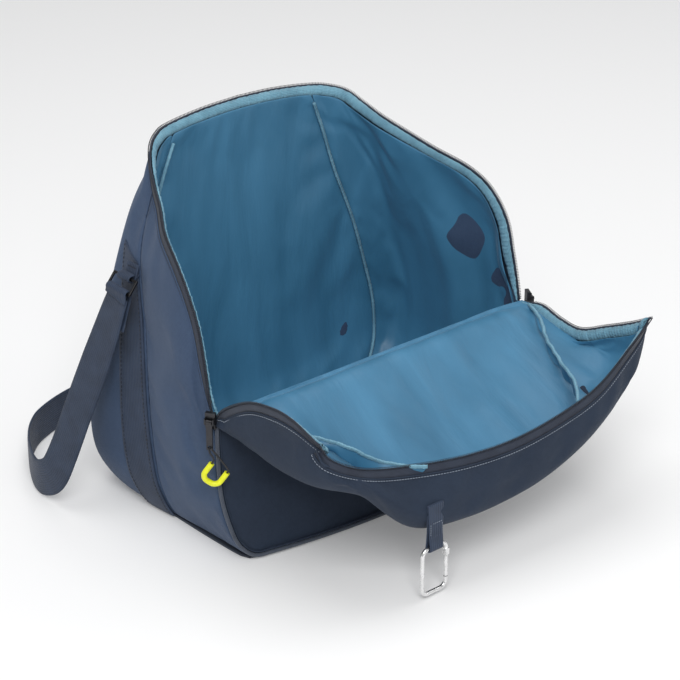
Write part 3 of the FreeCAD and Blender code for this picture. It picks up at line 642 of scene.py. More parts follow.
# %% Metal, plastic and rubber
def hard_finish(name, colour, metallic=1.0, roughness=0.3, grain=180.0, spread=0.12, relief=0.00008,
                coat=0.0):
    """Metal, moulded plastic or rubber: a fine grain in its shine, and rubbed lighter here and there."""
    mat = bpy.data.materials.new(name)
    mat.use_nodes = True
    nodes = mat.node_tree.nodes
    links = mat.node_tree.links
    nodes.clear()
    grain_frame = nodes.new("NodeFrame")
    grain_frame.label = "grain and rubbing"
    place = nodes.new("ShaderNodeTexCoord")
    place.label = "place on the piece"
    place.parent = grain_frame
    fine = nodes.new("ShaderNodeTexNoise")
    fine.label = "fine grain"
    fine.parent = grain_frame
    fine.inputs["Scale"].default_value = grain * 8
    fine.inputs["Detail"].default_value = 3.0
    rub = nodes.new("ShaderNodeTexNoise")
    rub.label = "rubbed patches"
    rub.parent = grain_frame
    rub.inputs["Scale"].default_value = grain
    rub.inputs["Detail"].default_value = 3.0
    shine = nodes.new("ShaderNodeMapRange")
    shine.label = "uneven shine"
    shine.inputs["To Min"].default_value = max(0.04, roughness - spread)
    shine.inputs["To Max"].default_value = min(1.0, roughness + spread)
    tone = nodes.new("ShaderNodeValToRGB")
    tone.label = "colour and rubbed colour"
    tone.color_ramp.elements[0].position = 0.35
    tone.color_ramp.elements[0].color = (*[c * 0.88 for c in colour], 1.0)
    tone.color_ramp.elements[1].position = 0.75
    tone.color_ramp.elements[1].color = (*[min(1.0, c * 1.08 + 0.004) for c in colour], 1.0)
    bump = nodes.new("ShaderNodeBump")
    bump.label = "grain height"
    bump.inputs["Strength"].default_value = 0.3
    bump.inputs["Distance"].default_value = relief
    solid = nodes.new("ShaderNodeBsdfPrincipled")
    solid.label = "solid finish"
    solid.inputs["Metallic"].default_value = metallic
    solid.inputs["Coat Weight"].default_value = coat
    surface = nodes.new("ShaderNodeOutputMaterial")
    surface.label = "surface"
    links.new(place.outputs["Object"], fine.inputs["Vector"])
    links.new(place.outputs["Object"], rub.inputs["Vector"])
    links.new(rub.outputs["Fac"], shine.inputs["Value"])
    links.new(rub.outputs["Fac"], tone.inputs["Fac"])
    links.new(fine.outputs["Fac"], bump.inputs["Height"])
    links.new(tone.outputs["Color"], solid.inputs["Base Color"])
    links.new(shine.outputs["Result"], solid.inputs["Roughness"])
    links.new(bump.outputs["Normal"], solid.inputs["Normal"])
    links.new(solid.outputs["BSDF"], surface.inputs["Surface"])
    for k, node in enumerate(n for n in nodes if n.type != "FRAME"):
        node.location = (-900 + 230 * (k // 3), 260 - 260 * (k % 3))
    return mat


# %% The finishes of this bag
navy_front = plain_weave("navy_front", (0.008, 0.014, 0.028), (0.022, 0.036, 0.064), sheen=0.06)
navy_side = plain_weave("navy_side", (0.018, 0.034, 0.070), (0.052, 0.086, 0.156), roughness=0.70, sheen=0.12)
navy_base = plain_weave("navy_base", (0.014, 0.018, 0.028), (0.034, 0.042, 0.060), thread=0.0016,
                        roughness=0.6)
navy_tape = ribbed_webbing("navy_tape", (0.008, 0.012, 0.024), (0.022, 0.032, 0.055), rib=0.0012,
                           relief=0.0002)
navy_webbing = ribbed_webbing("navy_webbing", (0.008, 0.015, 0.032), (0.028, 0.046, 0.086), sheen=0.05)
# The lining's two colours are the ends of its painted crease shade and painted crease light.
blue_satin = satin("blue_satin", (0.034, 0.135, 0.235), (0.068, 0.230, 0.385), sheen=0.15)
light_binding = ribbed_webbing("light_binding", (0.055, 0.16, 0.24), (0.20, 0.42, 0.54), rib=0.0016,
                               roughness=0.48, sheen=0.15)
pale_thread = ribbed_webbing("pale_thread", (0.16, 0.19, 0.24), (0.30, 0.34, 0.40), rib=0.0006)
dark_thread = ribbed_webbing("dark_thread", (0.006, 0.008, 0.014), (0.02, 0.024, 0.036), rib=0.0006)
coil_nylon = hard_finish("coil_nylon", (0.016, 0.020, 0.030), metallic=0.0, roughness=0.35)
piping_cloth = plain_weave("piping_cloth", (0.022, 0.028, 0.042), (0.085, 0.10, 0.13), thread=0.0007,
                           roughness=0.42)
gunmetal = hard_finish("gunmetal", (0.055, 0.055, 0.060), metallic=0.9, roughness=0.32)
ring_metal = hard_finish("ring_metal", (0.020, 0.020, 0.022), metallic=0.8, roughness=0.38)
bare_alloy = hard_finish("bare_alloy", (0.86, 0.86, 0.86), metallic=1.0, roughness=0.26)
yellow_rubber = hard_finish("yellow_rubber", (0.78, 0.80, 0.015), metallic=0.0, roughness=0.42)
black_cord = hard_finish("black_cord", (0.016, 0.016, 0.018), metallic=0.0, roughness=0.7, grain=900.0,
                         relief=0.0003)


def paint(obj, mat):
    obj.data.materials.clear()
    obj.data.materials.append(mat)
    return obj


print("finishes:", len(bpy.data.materials))


# %% [markdown]
# ## The pull cords
# A thin cord runs out of each zip puller, down in front of the corner, through a bright U-shaped grip and back. It is
# limp, so it is one smooth curve through a few points, with the grip strung on it.

# %% Pull cords
MM = 0.001


def mm(points):
    """Points given in millimetres, as an array in metres."""
    return np.array(points, float) * MM


CORD = [(210.8, -101.5, 124.0), (218.1, -105.7, 123.6), (217.6, -115.7, 117.7), (219.8, -113.8, 113.6),
        (227.4, -107.1, 99.2), (216.8, -116.4, 89.4), (209.2, -123.1, 103.8), (207.5, -124.6, 107.1),
        (211.2, -101.7, 121.5)]


def add_cord(name, points, radius, body):
    curve = bpy.data.curves.new(name, "CURVE")
    curve.dimensions = "3D"
    curve.resolution_u = 10
    curve.bevel_depth = 1.0          # the thickness is in each point's radius, in metres
    curve.bevel_resolution = 3
    curve.use_fill_caps = True
    line = curve.splines.new("NURBS")
    line.points.add(len(points) - 1)
    for point, place in zip(line.points, points):
        point.co = (*place, 1.0)
        point.radius = radius
    line.order_u = 3
    line.use_endpoint_u = True
    obj = bpy.data.objects.new(name, curve)
    bpy.context.collection.objects.link(obj)
    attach(obj, body)
    return obj


def curve_length(obj):
    """Length of a curve object's line, without its thickness."""
    bare = obj.data.copy()
    bare.bevel_depth = 0.0
    probe = bpy.data.objects.new("probe", bare)
    mesh = bpy.data.meshes.new_from_object(probe)
    points = np.array([v.co for v in mesh.vertices])
    bpy.data.objects.remove(probe)
    bpy.data.meshes.remove(mesh)
    return float(np.linalg.norm(np.diff(points, axis=0), axis=1).sum())


for side, tag in ((1, "right"), (-1, "left")):
    route = mm(CORD) * np.array([side, 1, 1])
    cord = add_cord("pull_cord_line_" + tag, route, 0.0009, "puller_" + tag)
    cord.data.materials.append(black_cord)
    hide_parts("pull_cord_" + tag)
    cord_length = curve_length(cord)
    print(cord.name, "length", round(cord_length, 4))

# %% [markdown]
# ## Seam lines of the bag
# The panels meet on a few lines: the front edge, the rim that the zip follows, the side seam and the back corner.
# Each line is drawn once, and every panel and tape that touches it uses the same points.

# %% Seam lines
EDGE = mm([(183, -123, 3.2), (193, -121, 14), (203, -118, 32), (210, -110, 72), (207, -102, 118),
           (203, -97, 145)])
RIM = mm([(203, -97, 145), (204, -92, 168), (203, -86, 197), (202, -76, 233), (198, -56, 262),
          (190, -31, 280),
          (175, 7, 295), (160, 34, 310), (149, 57, 322), (139, 76, 335), (128, 90, 347), (112, 102, 353),
          (92, 110, 356), (46, 112, 361), (0, 112, 363)])
RIM_OUT = unit([(1, 0, 0), (1, 0, 0), (1, 0, 0.02), (1, 0, 0.1), (0.95, 0.1, 0.25), (0.9, 0.15, 0.33),
                (0.88, 0.25, 0.33), (0.85, 0.4, 0.28), (0.8, 0.5, 0.22), (0.72, 0.65, 0.15), (0.6, 0.78, 0.1),
                (0.4, 0.9, 0.05), (0.2, 0.98, 0.03), (0, 1, 0.03), (0, 1, 0.03)])
SEAM = mm([(188, -15, 3.2), (196, -11, 20), (203, -6, 48), (205, -1, 93), (203, 5, 139), (192, 21, 199),
           (176, 46, 261),
           (149, 57, 322)])
CORNER = mm([(158, 99, 3.2), (170, 106, 16), (182, 112, 44), (181, 114, 90), (168, 114, 140), (150, 113, 195),
             (124, 113, 258), (106, 112, 310), (92, 110, 356)])
SEAM_TOP = 8
CORNER_TOP = 12
RIM_END = 14
TAPE = 0.009
WALL = 0.004


def through(points, t):
    """A smooth curve through the points, read at point numbers t, which may be fractions."""
    p = np.array(points, float)
    ext = np.vstack([2 * p[0] - p[1], p, 2 * p[-1] - p[-2]])
    t = np.clip(np.atleast_1d(t), 0, len(p) - 1 - 1e-9)
    k = t.astype(int)
    f = (t - k)[:, None]
    a, b, c, d = ext[k], ext[k + 1], ext[k + 2], ext[k + 3]
    return 0.5 * (2 * b + (c - a) * f + (2 * a - 5 * b + 4 * c - d) * f**2 + (3 * b - a - 3 * c + d) * f**3)


def rim_frame(t):
    """Place, outward direction and direction down the wall at each rim number t of the right half."""
    p = through(RIM, t)
    out = unit(through(RIM_OUT, t))
    along = unit(through(RIM, np.array(t) + 0.02) - through(RIM, np.array(t) - 0.02))
    down = unit(np.cross(out, along))
    down = np.where((down @ np.array([0, 0.4, -1]))[:, None] < 0, -down, down)
    taper = np.interp(t, [0, 1, 2], [0, 0.55, 1])[:, None]
    return p, out, down * taper


def rim_line(t, along, inward):
    p, out, down = rim_frame(t)
    return p + down * along - out * inward


def even_rim(n, first=0.0, last=RIM_END):
    """Rim numbers whose points lie evenly along the rim."""
    t = np.linspace(first, last, 400)
    run = np.concatenate([[0], np.cumsum(np.linalg.norm(np.diff(through(RIM, t), axis=0), axis=1))])
    return np.interp(np.linspace(0, run[-1], n), run, t)


def both_sides(half):
    """A line of the right half, carried over the middle to the left half; it runs from the left end."""
    return np.vstack([flipped(half), half[-2::-1]])


print("rim length", round(float(np.linalg.norm(np.diff(both_sides(through(RIM, even_rim(200))), axis=0),
                                               axis=1).sum()), 3))

# %% [markdown]
# ## The base
# A stiffened sheet. Its outline follows the foot of the walls, and its edge is rounded where the cloth turns up.

# %% Base
base_half = mm([(0, -144.6, 0), (70, -141.5, 0), (130, -134, 0), (172, -125.5, 0), (183, -122, 0),
                (187.5, -108, 0),
                (188.5, -60, 0), (188, -15, 0), (187, 45, 0), (177, 84, 0), (158, 99, 0), (120, 101.5, 0),
                (60, 103.5, 0),
                (0, 104, 0)])
outline = smooth(base_half, 60)
ring_line = np.vstack([outline, flipped(outline)[-2:0:-1]])
middle = np.array([0.0, -0.02, 0.0])
rows = [middle + (ring_line - middle) * f for f in (1.0, 0.985, 0.95, 0.8, 0.6, 0.4, 0.2, 0.05)]
base_verts = np.vstack(rows) + np.array([0, 0, 0.0001])
count = len(ring_line)
base_faces = []
for j in range(len(rows) - 1):
    for i in range(count):
        n = (i + 1) % count
        base_faces.append((j * count + i, (j + 1) * count + i, (j + 1) * count + n, j * count + n))
base_faces.append(tuple((len(rows) - 1) * count + i for i in range(count))[::-1])
base_mesh = bpy.data.meshes.new("base_sheet_cloth")
base_mesh.from_pydata([tuple(v) for v in base_verts], [], base_faces)
uv_layer = base_mesh.uv_layers.new(name="cloth")
for loop in base_mesh.loops:
    uv_layer.data[loop.index].uv = base_verts[loop.vertex_index][:2]
base_mesh.shade_smooth()
base = bpy.data.objects.new("base_sheet_cloth", base_mesh)
bpy.context.collection.objects.link(base)
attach(base, "bag")
if base_mesh.polygons[0].normal.z > 0:
    base_mesh.flip_normals()
finish_with(base, "SOLIDIFY", "sheet", thickness=0.003, offset=-1.0)
finish_with(base, "BEVEL", "turned_edge", width=0.0012, segments=3, limit_method="ANGLE", angle_limit=0.9)
paint(base, navy_base)
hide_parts("base_panel")
print("base faces", len(base_mesh.polygons))

# %% [markdown]
# ## The outer walls
# Front, sides and back are padded cloth 4 mm thick. The rear of each side swells before it turns into the back. Each
# panel is a patch between its seams that settles as cloth does, and then gets its wall and rounded hems.


# %% Wall panels
def wall_top(first, last, n, along=TAPE, inward=0.0):
    return rim_line(even_rim(n, first, last), along, inward)


def side_front_grid(nu, nv):
    top = wall_top(0, SEAM_TOP, 40)
    right_side = np.vstack([SEAM[:-1], top[-1:]])
    return patch([EDGE[0], SEAM[0]], top, EDGE, right_side, nu, nv)


def side_rear_grid(nu, nv):
    top = wall_top(SEAM_TOP, CORNER_TOP, 40)
    left = np.vstack([SEAM[:-1], top[:1]])
    right_side = np.vstack([CORNER[:-1], top[-1:]])
    grid = patch([SEAM[0], mm((187, 45, 3.2)), mm((177, 85, 3.2)), CORNER[0]], top, left, right_side, nu, nv)
    u = np.linspace(0, 1, nu)[None, :]
    v = np.linspace(0, 1, nv)[:, None]
    swell = 0.017 * np.sin(np.pi * u) * np.sin(np.pi * np.minimum(1, 0.08 + v)) ** 0.7 * (0.35 + 0.65 * u)
    return grid + swell[:, :, None] * np.array([0.75, 0.66, 0.0])


def back_grid(nu, nv):
    half = wall_top(CORNER_TOP, RIM_END, 30)
    top = both_sides(half)
    right_side = np.vstack([CORNER[:-1], half[:1]])
    grid = patch([flipped(CORNER[:1])[0], mm((0, 104, 3.2)), CORNER[0]], top, flipped(right_side), right_side,
                 nu, nv)
    u = np.linspace(-1, 1, nu)[None, :]
    v = np.linspace(0, 1, nv)[:, None]
    grid[:, :, 1] += 0.006 * (1 - u**2) * np.sin(np.pi * v)
    return grid


def front_grid(nu, nv, raised=0.0):
    x = np.linspace(-1, 1, 33)
    bottom = np.stack([x * 0.183, -0.123 - 0.022 * (1 - x**2), np.full(33, 0.0032)], axis=1)
    top = np.stack([x * 0.203, -0.097 - 0.005 * (1 - x**2), np.full(33, 0.145 + raised)], axis=1)
    return patch(bottom, top, flipped(EDGE), EDGE, nu, nv)


def add_wall(name, grid, outward, node, mat, push=0.0, slack=0.006, limit=0.004):
    wall = add_grid(name, grid, outward, "bag")
    settle(wall, border(grid.shape[0], grid.shape[1]), slack=slack, push=push, limit=limit)
    thicken(wall, WALL)
    paint(wall, mat)
    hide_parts(node)
    return wall


side_front = side_front_grid(26, 44)
side_rear = side_rear_grid(30, 44)
for side, tag in ((1, "right"), (-1, "left")):
    turn = np.array([side, 1, 1])
    add_wall("side_front_cloth_" + tag, side_front * turn, (side, 0, 0), "side_front_" + tag, navy_side)
    add_wall("side_rear_cloth_" + tag, side_rear * turn, (side, 0.4, 0), "side_rear_" + tag, navy_side)
back_wall = back_grid(48, 44)
add_wall("back_cloth", back_wall, (0, 1, 0), "back_panel", navy_side)
front_wall = front_grid(50, 22)
add_wall("front_cloth", front_wall, (0, -1, 0), "front_panel", navy_front, slack=0.004,
         limit=0.003)
print("settled, in mm:", settled)

# %% [markdown]
# ## The lining
# A satin lining hangs inside the walls from the rim. It is cut a little too big so that nothing pulls on it, so it
# falls in soft upright folds. The three walls are drawn as one sheet and then cut at the corners, so they meet.


# %% Lining sheets
def folds(length, seed, waves=((0.16, 1.0), (0.075, 0.7), (0.034, 0.35))):
    """A wavy profile along a length, from a few waves at seeded phases; about -1 to 1."""
    rng = random.Random(seed)
    total = np.zeros(len(length))
    for wave, size in waves:
        total += size * np.sin(2 * np.pi * length / wave * rng.uniform(0.85, 1.15) + rng.uniform(0, 6.28))
    return total / sum(size for _, size in waves)


def inward_sheet(grid, depth, outward):
    """The grid moved into the bag by depth, which may differ from point to point."""
    n = grid_normals(grid, outward)
    depth = np.broadcast_to(np.array(depth, float), grid.shape[:2])
    return grid - n * depth[:, :, None]


lining_rows = 40
parts_round = [side_front_grid(22, lining_rows), side_rear_grid(28, lining_rows)[:, 1:],
               back_grid(44, lining_rows)[:, ::-1][:, 1:]]
left_rear = flipped(side_rear_grid(28, lining_rows).reshape(-1, 3)).reshape(lining_rows, 28, 3)[:, -2::-1]
left_front = flipped(side_front_grid(22, lining_rows).reshape(-1, 3)).reshape(lining_rows, 22, 3)[:, -2::-1]
round_wall = np.concatenate(parts_round + [left_rear, left_front], axis=1)
n_round = unit(np.cross(np.gradient(round_wall, axis=1), np.gradient(round_wall, axis=0)))
flip_sign = 1.0 if n_round[20, 10, 0] > 0 else -1.0
n_round = n_round * flip_sign
run_round = np.concatenate([[0], np.cumsum(np.linalg.norm(np.diff(round_wall[20], axis=0), axis=1))])
hang = np.linspace(0, 1, lining_rows)[:, None]
wave = folds(run_round, 7)[None, :] * np.sin(np.pi * np.clip(hang * 0.92 + 0.04, 0, 1)) ** 0.7
wave = wave + 0.5 * folds(run_round + 0.03, 11)[None, :] * hang * (1 - hang) * 4
depth = 0.0068 + 0.0016 * (1 + wave)
inside = round_wall - n_round * depth[:, :, None]
inside[:, :, 2] = np.maximum(inside[:, :, 2], 0.0085)


def declare_sheet(obj, grid):
    """Measures a lining sheet by the size its panel is cut to, prints it, and returns that size and area."""
    rows = np.linalg.norm(np.diff(grid, axis=1), axis=2).sum(axis=1)
    columns = np.linalg.norm(np.diff(grid, axis=0), axis=2).sum(axis=0)
    across = np.cross(grid[1:, :-1] - grid[:-1, :-1], grid[:-1, 1:] - grid[:-1, :-1])
    other = np.cross(grid[1:, :-1] - grid[1:, 1:], grid[:-1, 1:] - grid[1:, 1:])
    area = float((np.linalg.norm(across, axis=2) + np.linalg.norm(other, axis=2)).sum() / 2)
    width, length = float(rows.max()), float(columns.max())
    print(obj.name, "flat", round(width, 3), "x", round(length, 3), "m, area", round(area, 4))
    return width, length, area


LINING_T = 0.0008
cuts = (("right", 0, 49, (1, 0, 0)), ("back", 48, 92, (0, 1, 0)), ("left", 91, 140, (-1, 0, 0)))
for tag, first, last, outward in cuts:
    sheet = add_grid("lining_sheet_" + tag, inside[:, first:last].copy(), tuple(-np.array(outward)), "bag")
    settle(sheet, border(lining_rows, inside[:, first:last].shape[1]), slack=0.012, limit=0.004, stiff=0.6)
    thicken(sheet, LINING_T)
    paint(sheet, blue_satin)
    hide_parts("lining_" + tag)
    declare_sheet(sheet, inside[:, first:last])
front_inside = inward_sheet(front_grid(40, 18), 0.0068, (0, -1, 0))
front_inside[:, :, 0] = front_inside[:, :, 0] * 0.965
front_inside[:, :, 2] = np.clip(front_inside[:, :, 2], 0.0085, 0.142)
sheet = add_grid("lining_sheet_front", front_inside, (0, 1, 0), "bag")
settle(sheet, border(18, 40), slack=0.008, limit=0.003, stiff=0.6)
thicken(sheet, LINING_T)
paint(sheet, blue_satin)
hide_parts("lining_front")
declare_sheet(sheet, front_inside)

# %% Lining on the floor of the bag
u = np.linspace(-1, 1, 60)
v = np.linspace(0, 1, 44)
floor_half = np.interp(v, [0, 0.1, 0.5, 0.8, 0.93, 1], [0.173, 0.184, 0.187, 0.186, 0.177, 0.160])
floor_y0 = -0.132 + 0.017 * np.abs(u) ** 2.2
floor_grid = np.stack([np.outer(floor_half, u), floor_y0[None, :] * (1 - v[:, None]) + 0.097 * v[:, None],
                       np.full((44, 60), 0.0072)], axis=2)
bumps = folds(np.linspace(0, 0.36, 60), 3)[None, :] * folds(np.linspace(0, 0.23, 44), 5)[:, None]
floor_grid[:, :, 2] += 0.0012 * np.abs(bumps)
sheet = add_grid("lining_sheet_base", floor_grid, (0, 0, 1), "bag")
thicken(sheet, LINING_T, 0)
paint(sheet, blue_satin)
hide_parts("lining_base")
declare_sheet(sheet, floor_grid)
print("lining round, in m:", round(float(run_round[-1]), 3))

# %% [markdown]
# ## The rim: tape, coil and gathered binding
# Along the rim the shell ends in a narrow zip tape, whose coil forms the very edge. Inside it the raw edges of shell
# and lining are wrapped in a light binding that is gathered by its stitches, so it ripples all the way round.


# %% Rim trims
def band_between(name, low, high, outward, body, columns=4, bulge=0.0, ripple=0.0, seed=1, wave=0.0045):
    """A strip between two lines, bulging and rippling along one side's normal."""
    s = np.linspace(0, 1, columns)[None, :, None]
    grid = low[:, None] * (1 - s) + high[:, None] * s
    t = np.gradient(grid, axis=0)
    a = np.gradient(grid, axis=1)
    n = unit(np.cross(a, t))
    sign = np.sign((n * outward[:, None]).sum(axis=2, keepdims=True))
    sign[sign == 0] = 1
    n = n * sign
    run = np.concatenate([[0], np.cumsum(np.linalg.norm(np.diff(low, axis=0), axis=1))])
    shape = np.sin(np.pi * s[0, :, 0]) ** 0.6
    rough = folds(run, seed, ((wave * 2.3, 0.6), (wave, 1.0), (wave * 0.55, 0.7)))
    skew = folds(run, seed + 50, ((wave * 3.1, 0.7), (wave * 1.3, 1.0)))
    lift = bulge * shape[None, :] + ripple * rough[:, None] * (0.35 + 0.65 * shape[None, :])
    grid = grid + n * lift[:, :, None]
    grid = grid + unit(high - low)[:, None] * (ripple * 0.5 * skew)[:, None, None]
    middle = grid.shape[0] // 2
    return add_grid(name, grid, outward[middle], body)


def add_coil(name, line, out, across, body, pitch=0.0017, half=0.0013, height=0.0009, wire=0.00042):
    """Zip coil: small arched loops side by side along a line."""
    run = np.concatenate([[0], np.cumsum(np.linalg.norm(np.diff(line, axis=0), axis=1))])
    count = int(run[-1] / pitch)
    verts = []
    faces = []
    profile = ((-half, 0.0), (-half * 0.7, height), (half * 0.7, height), (half, 0.0))
    for k in range(count):
        s = (k + 0.5) * pitch
        p = np.array([np.interp(s, run, line[:, i]) for i in range(3)])
        q = np.array([np.interp(s + 0.0005, run, line[:, i]) for i in range(3)])
        t = unit(q - p)
        o = unit(np.array([np.interp(s, run, out[:, i]) for i in range(3)]))
        a = unit(np.array([np.interp(s, run, across[:, i]) for i in range(3)]))
        base = len(verts)
        for m, (x, h) in enumerate(profile):
            c = p + a * x + o * h + t * (pitch * 0.12 * (m - 1.5))
            for dt, do in ((-1, 0), (0, 1), (1, 0), (0, -1)):
                verts.append(c + t * (dt * wire) + (o if m in (1, 2) else a * (1 if m else -1)) * (do * wire))
        for m in range(3):
            for r in range(4):
                i0 = base + m * 4 + r
                i1 = base + m * 4 + (r + 1) % 4
                faces.append((i0, i1, i1 + 4, i0 + 4))
        faces.append((base, base + 3, base + 2, base + 1))
        faces.append((base + 12, base + 13, base + 14, base + 15))
    mesh = bpy.data.meshes.new(name)
    mesh.from_pydata([tuple(v) for v in verts], [], faces)
    bm = bmesh.new()
    bm.from_mesh(mesh)
    bmesh.ops.recalc_face_normals(bm, faces=bm.faces)
    bm.to_mesh(mesh)
    bm.free()
    mesh.shade_smooth()
    obj = bpy.data.objects.new(name, mesh)
    bpy.context.collection.objects.link(obj)
    if body:
        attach(obj, body)
    paint(obj, coil_nylon)
    return obj


# %% The rim of the body
rim_n = 200
rim_t = even_rim(rim_n, 0.15)
_, rim_out, rim_down = rim_frame(rim_t)
out_full = both_sides(rim_out)
out_full[:rim_n] = flipped(rim_out)
down_full = both_sides(rim_down)
tape = band_between("body_tape_cloth", both_sides(rim_line(rim_t, TAPE + 0.0005, 0.0004)),
                    both_sides(rim_line(rim_t, 0.0006, 0.0004)), out_full, "bag", 4, ripple=0.0001, wave=0.02)
finish_with(tape, "SOLIDIFY", "tape", thickness=0.0012, offset=-1.0)
paint(tape, navy_tape)
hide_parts("body_zip_tape")
coil = add_coil("body_coil_loops", both_sides(rim_line(rim_t, 0.0006, 0.0)), out_full, down_full, "bag")
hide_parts("body_zip_coil")
fine_t = even_rim(420, 0.15)
fine_out = rim_frame(fine_t)[1]
fine_full = both_sides(fine_out)
binding = band_between("body_binding_gathered", both_sides(rim_line(fine_t, 0.0125, 0.0052)),
                       both_sides(rim_line(fine_t, 0.0012, 0.0034)), -fine_full, "bag", 6, bulge=0.0022,
                       ripple=0.0007, seed=21)
finish_with(binding, "SOLIDIFY", "tape", thickness=0.0008, offset=-1.0)
paint(binding, light_binding)
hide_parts("body_binding")
hem_line = both_sides(rim_line(rim_t, TAPE + 0.0020, -0.0004))
stitches = add_stitches("body_rim_stitches", hem_line, out_full, body="bag")
paint(stitches, dark_thread)
lip = both_sides(rim_line(rim_t, TAPE + 0.0004, -0.0003))
hem = add_rod("body_hem_fold", lip, 0.0008, "bag", 6)
paint(hem, navy_side)
print("rim points", len(out_full))

# %% [markdown]
# ## Piping round the front
# The front panel is edged with a covered cord that stands proud, and its seam allowance shows as a second, finer line
# beside it. Both are rods that follow the panel's outline.

# %% Piping
pipe_side = EDGE + mm((-1.6, -2.6, 0))
pipe_side[-1] = pipe_side[-2] + (pipe_side[-1] - pipe_side[-2]) * 0.9
foot_x = np.linspace(0, 0.177, 14)
foot = np.stack([foot_x, -0.123 - 0.022 * (1 - (foot_x / 0.183) ** 2) - 0.0024, np.full(14, 0.0040)], axis=1)
half_pipe = smooth(np.vstack([foot[:-1], mm([(178.5, -126.2, 4.4)]), pipe_side[1:]]), 90)
pipe_line = both_sides(half_pipe[::-1])
piping = add_rod("front_piping_cord", pipe_line, 0.0019, "bag", 10)
paint(piping, piping_cloth)
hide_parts("front_piping")
inner_half = half_pipe + np.stack([-np.interp(np.arange(90), [0, 50, 60, 89], [0, 0.001, 0.0038, 0.0038]),
                                   np.full(90, -0.0002),
                                   np.interp(np.arange(90), [0, 50, 60, 89], [0.0038, 0.0036, 0.001, 0.0])],
                                  axis=1)
welt = add_rod("front_piping_seam", both_sides(inner_half[::-1]), 0.0009, "bag", 6)
paint(welt, navy_front)
print("piping length", round(float(np.linalg.norm(np.diff(pipe_line, axis=0), axis=1).sum()), 3))

# %% [markdown]
# ## Webbing on the sides
# A strip of strap webbing runs up behind each side seam to the loop that holds the ring. It is sewn along both edges,
# and the stitches sink a little into it.


# %% Side webbing
def side_strip(grid, distances, last_row):
    """Points at given distances from the seam along each row of the rear side grid."""
    rows = []
    for row in grid[:last_row]:
        run = np.concatenate([[0], np.cumsum(np.linalg.norm(np.diff(row, axis=0), axis=1))])
        rows.append([[np.interp(d, run, row[:, i]) for i in range(3)] for d in distances])
    return np.array(rows)


strip_at = np.array([0.0, 0.004, 0.012, 0.020, 0.028, 0.036, 0.040]) + 0.0008
strip = side_strip(side_rear_grid(60, 80), strip_at, 63)
strip_n = grid_normals(strip, (1, 0, 0))
crown = 0.0028 + 0.0006 * np.sin(np.linspace(0, np.pi, 7))[None, :, None] ** 0.5
strip = strip + strip_n * crown
for side, tag in ((1, "right"), (-1, "left")):
    turn = np.array([side, 1, 1])
    webbing = add_grid("side_webbing_cloth_" + tag, strip * turn, (side, 0, 0), "bag")
    thicken(webbing, 0.0020)
    paint(webbing, navy_webbing)
    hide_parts("side_webbing_" + tag)
    for k, column in ((1, 1), (2, 5)):
        line = (strip[1:, column] + strip_n[1:, column] * 0.0001) * turn
        row = add_stitches("side_webbing_stitches_%s_%d" % (tag, k), line, strip_n[1:, column] * turn,
                           pitch=0.0042,
                           length=0.0030, width=0.0008, body="bag")
        paint(row, dark_thread)
    seam_t = np.linspace(6.55, 7, 14)
    upper = through(SEAM, seam_t) * turn + np.array([side * 0.0006, 0, 0])
    seam_fold = add_rod("side_seam_fold_" + tag, upper[:-3], 0.0009, "bag", 6)
    paint(seam_fold, navy_side)
print("webbing rows", strip.shape)

# %% [markdown]
# ## The open flap
# The flap is one piece of cloth from the fold above the front panel to its own zipped rim. Open, it hangs forward as a
# shallow bowl with a raised wing at each zip end. It bends between the bag and its swinging part, so outer cloth,
# lining, tape, coil and binding are each one piece.

# %% Flap points
FLAP = mm([
    [(-203, -97, 145), (-204, -114, 164), (-206, -153, 187), (-206, -189, 194), (-205, -212, 192),
     (-203, -231, 184),
     (-200, -243, 176)],
    [(-203, -99, 143), (-205, -118, 141), (-205, -155, 137), (-205, -192, 133), (-203, -228, 134),
     (-197, -250, 146),
     (-192, -251, 163)],
    [(-160, -101, 146), (-160, -118, 149), (-160, -155, 140), (-160, -222, 122), (-158, -255, 111),
     (-158, -270, 122),
     (-160, -258, 145)],
    [(-110, -102, 146), (-110, -121, 152), (-110, -155, 132), (-110, -205, 103), (-110, -262, 73),
     (-110, -284, 98),
     (-106, -266, 133)],
    [(-55, -102, 146), (-55, -122, 153), (-55, -155, 128), (-55, -195, 100), (-55, -266, 64), (-55, -292, 92),
     (-53, -280, 130)],
    [(0, -102, 146), (0, -122, 153), (0, -155, 128), (0, -192, 99), (0, -270, 66), (0, -297, 95),
     (0, -288, 131)],
    [(55, -102, 146), (55, -122, 153), (55, -155, 129), (55, -195, 102), (55, -272, 74), (55, -299, 103),
     (55, -291, 138)],
    [(110, -102, 146), (110, -121, 152), (110, -155, 131), (110, -205, 106), (110, -270, 88),
     (110, -297, 118),
     (110, -290, 150)],
    [(160, -101, 146), (160, -119, 150), (160, -155, 138), (160, -225, 120), (160, -264, 113),
     (162, -284, 138),
     (163, -283, 173)],
    [(203, -99, 143), (205, -118, 142), (206, -155, 132), (206, -192, 125), (204, -235, 130),
     (200, -264, 152),
     (191, -277, 184)],
    [(203, -97, 147), (206, -125, 152), (207, -151, 145), (207, -179, 143), (205, -215, 159),
     (201, -252, 177),
     (198, -278, 192)]])


def flap_surface(columns, rows):
    """The flap's outer surface, smooth through its points; columns and rows are point numbers."""
    lines = np.array([through(column, rows) for column in FLAP])
    return np.array([through(lines[:, j], columns) for j in range(len(rows))])


def share(piece):
    """Applies the stack and bakes the piece's placement into its mesh."""
    apply_all(piece)
    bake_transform(piece)
    return piece


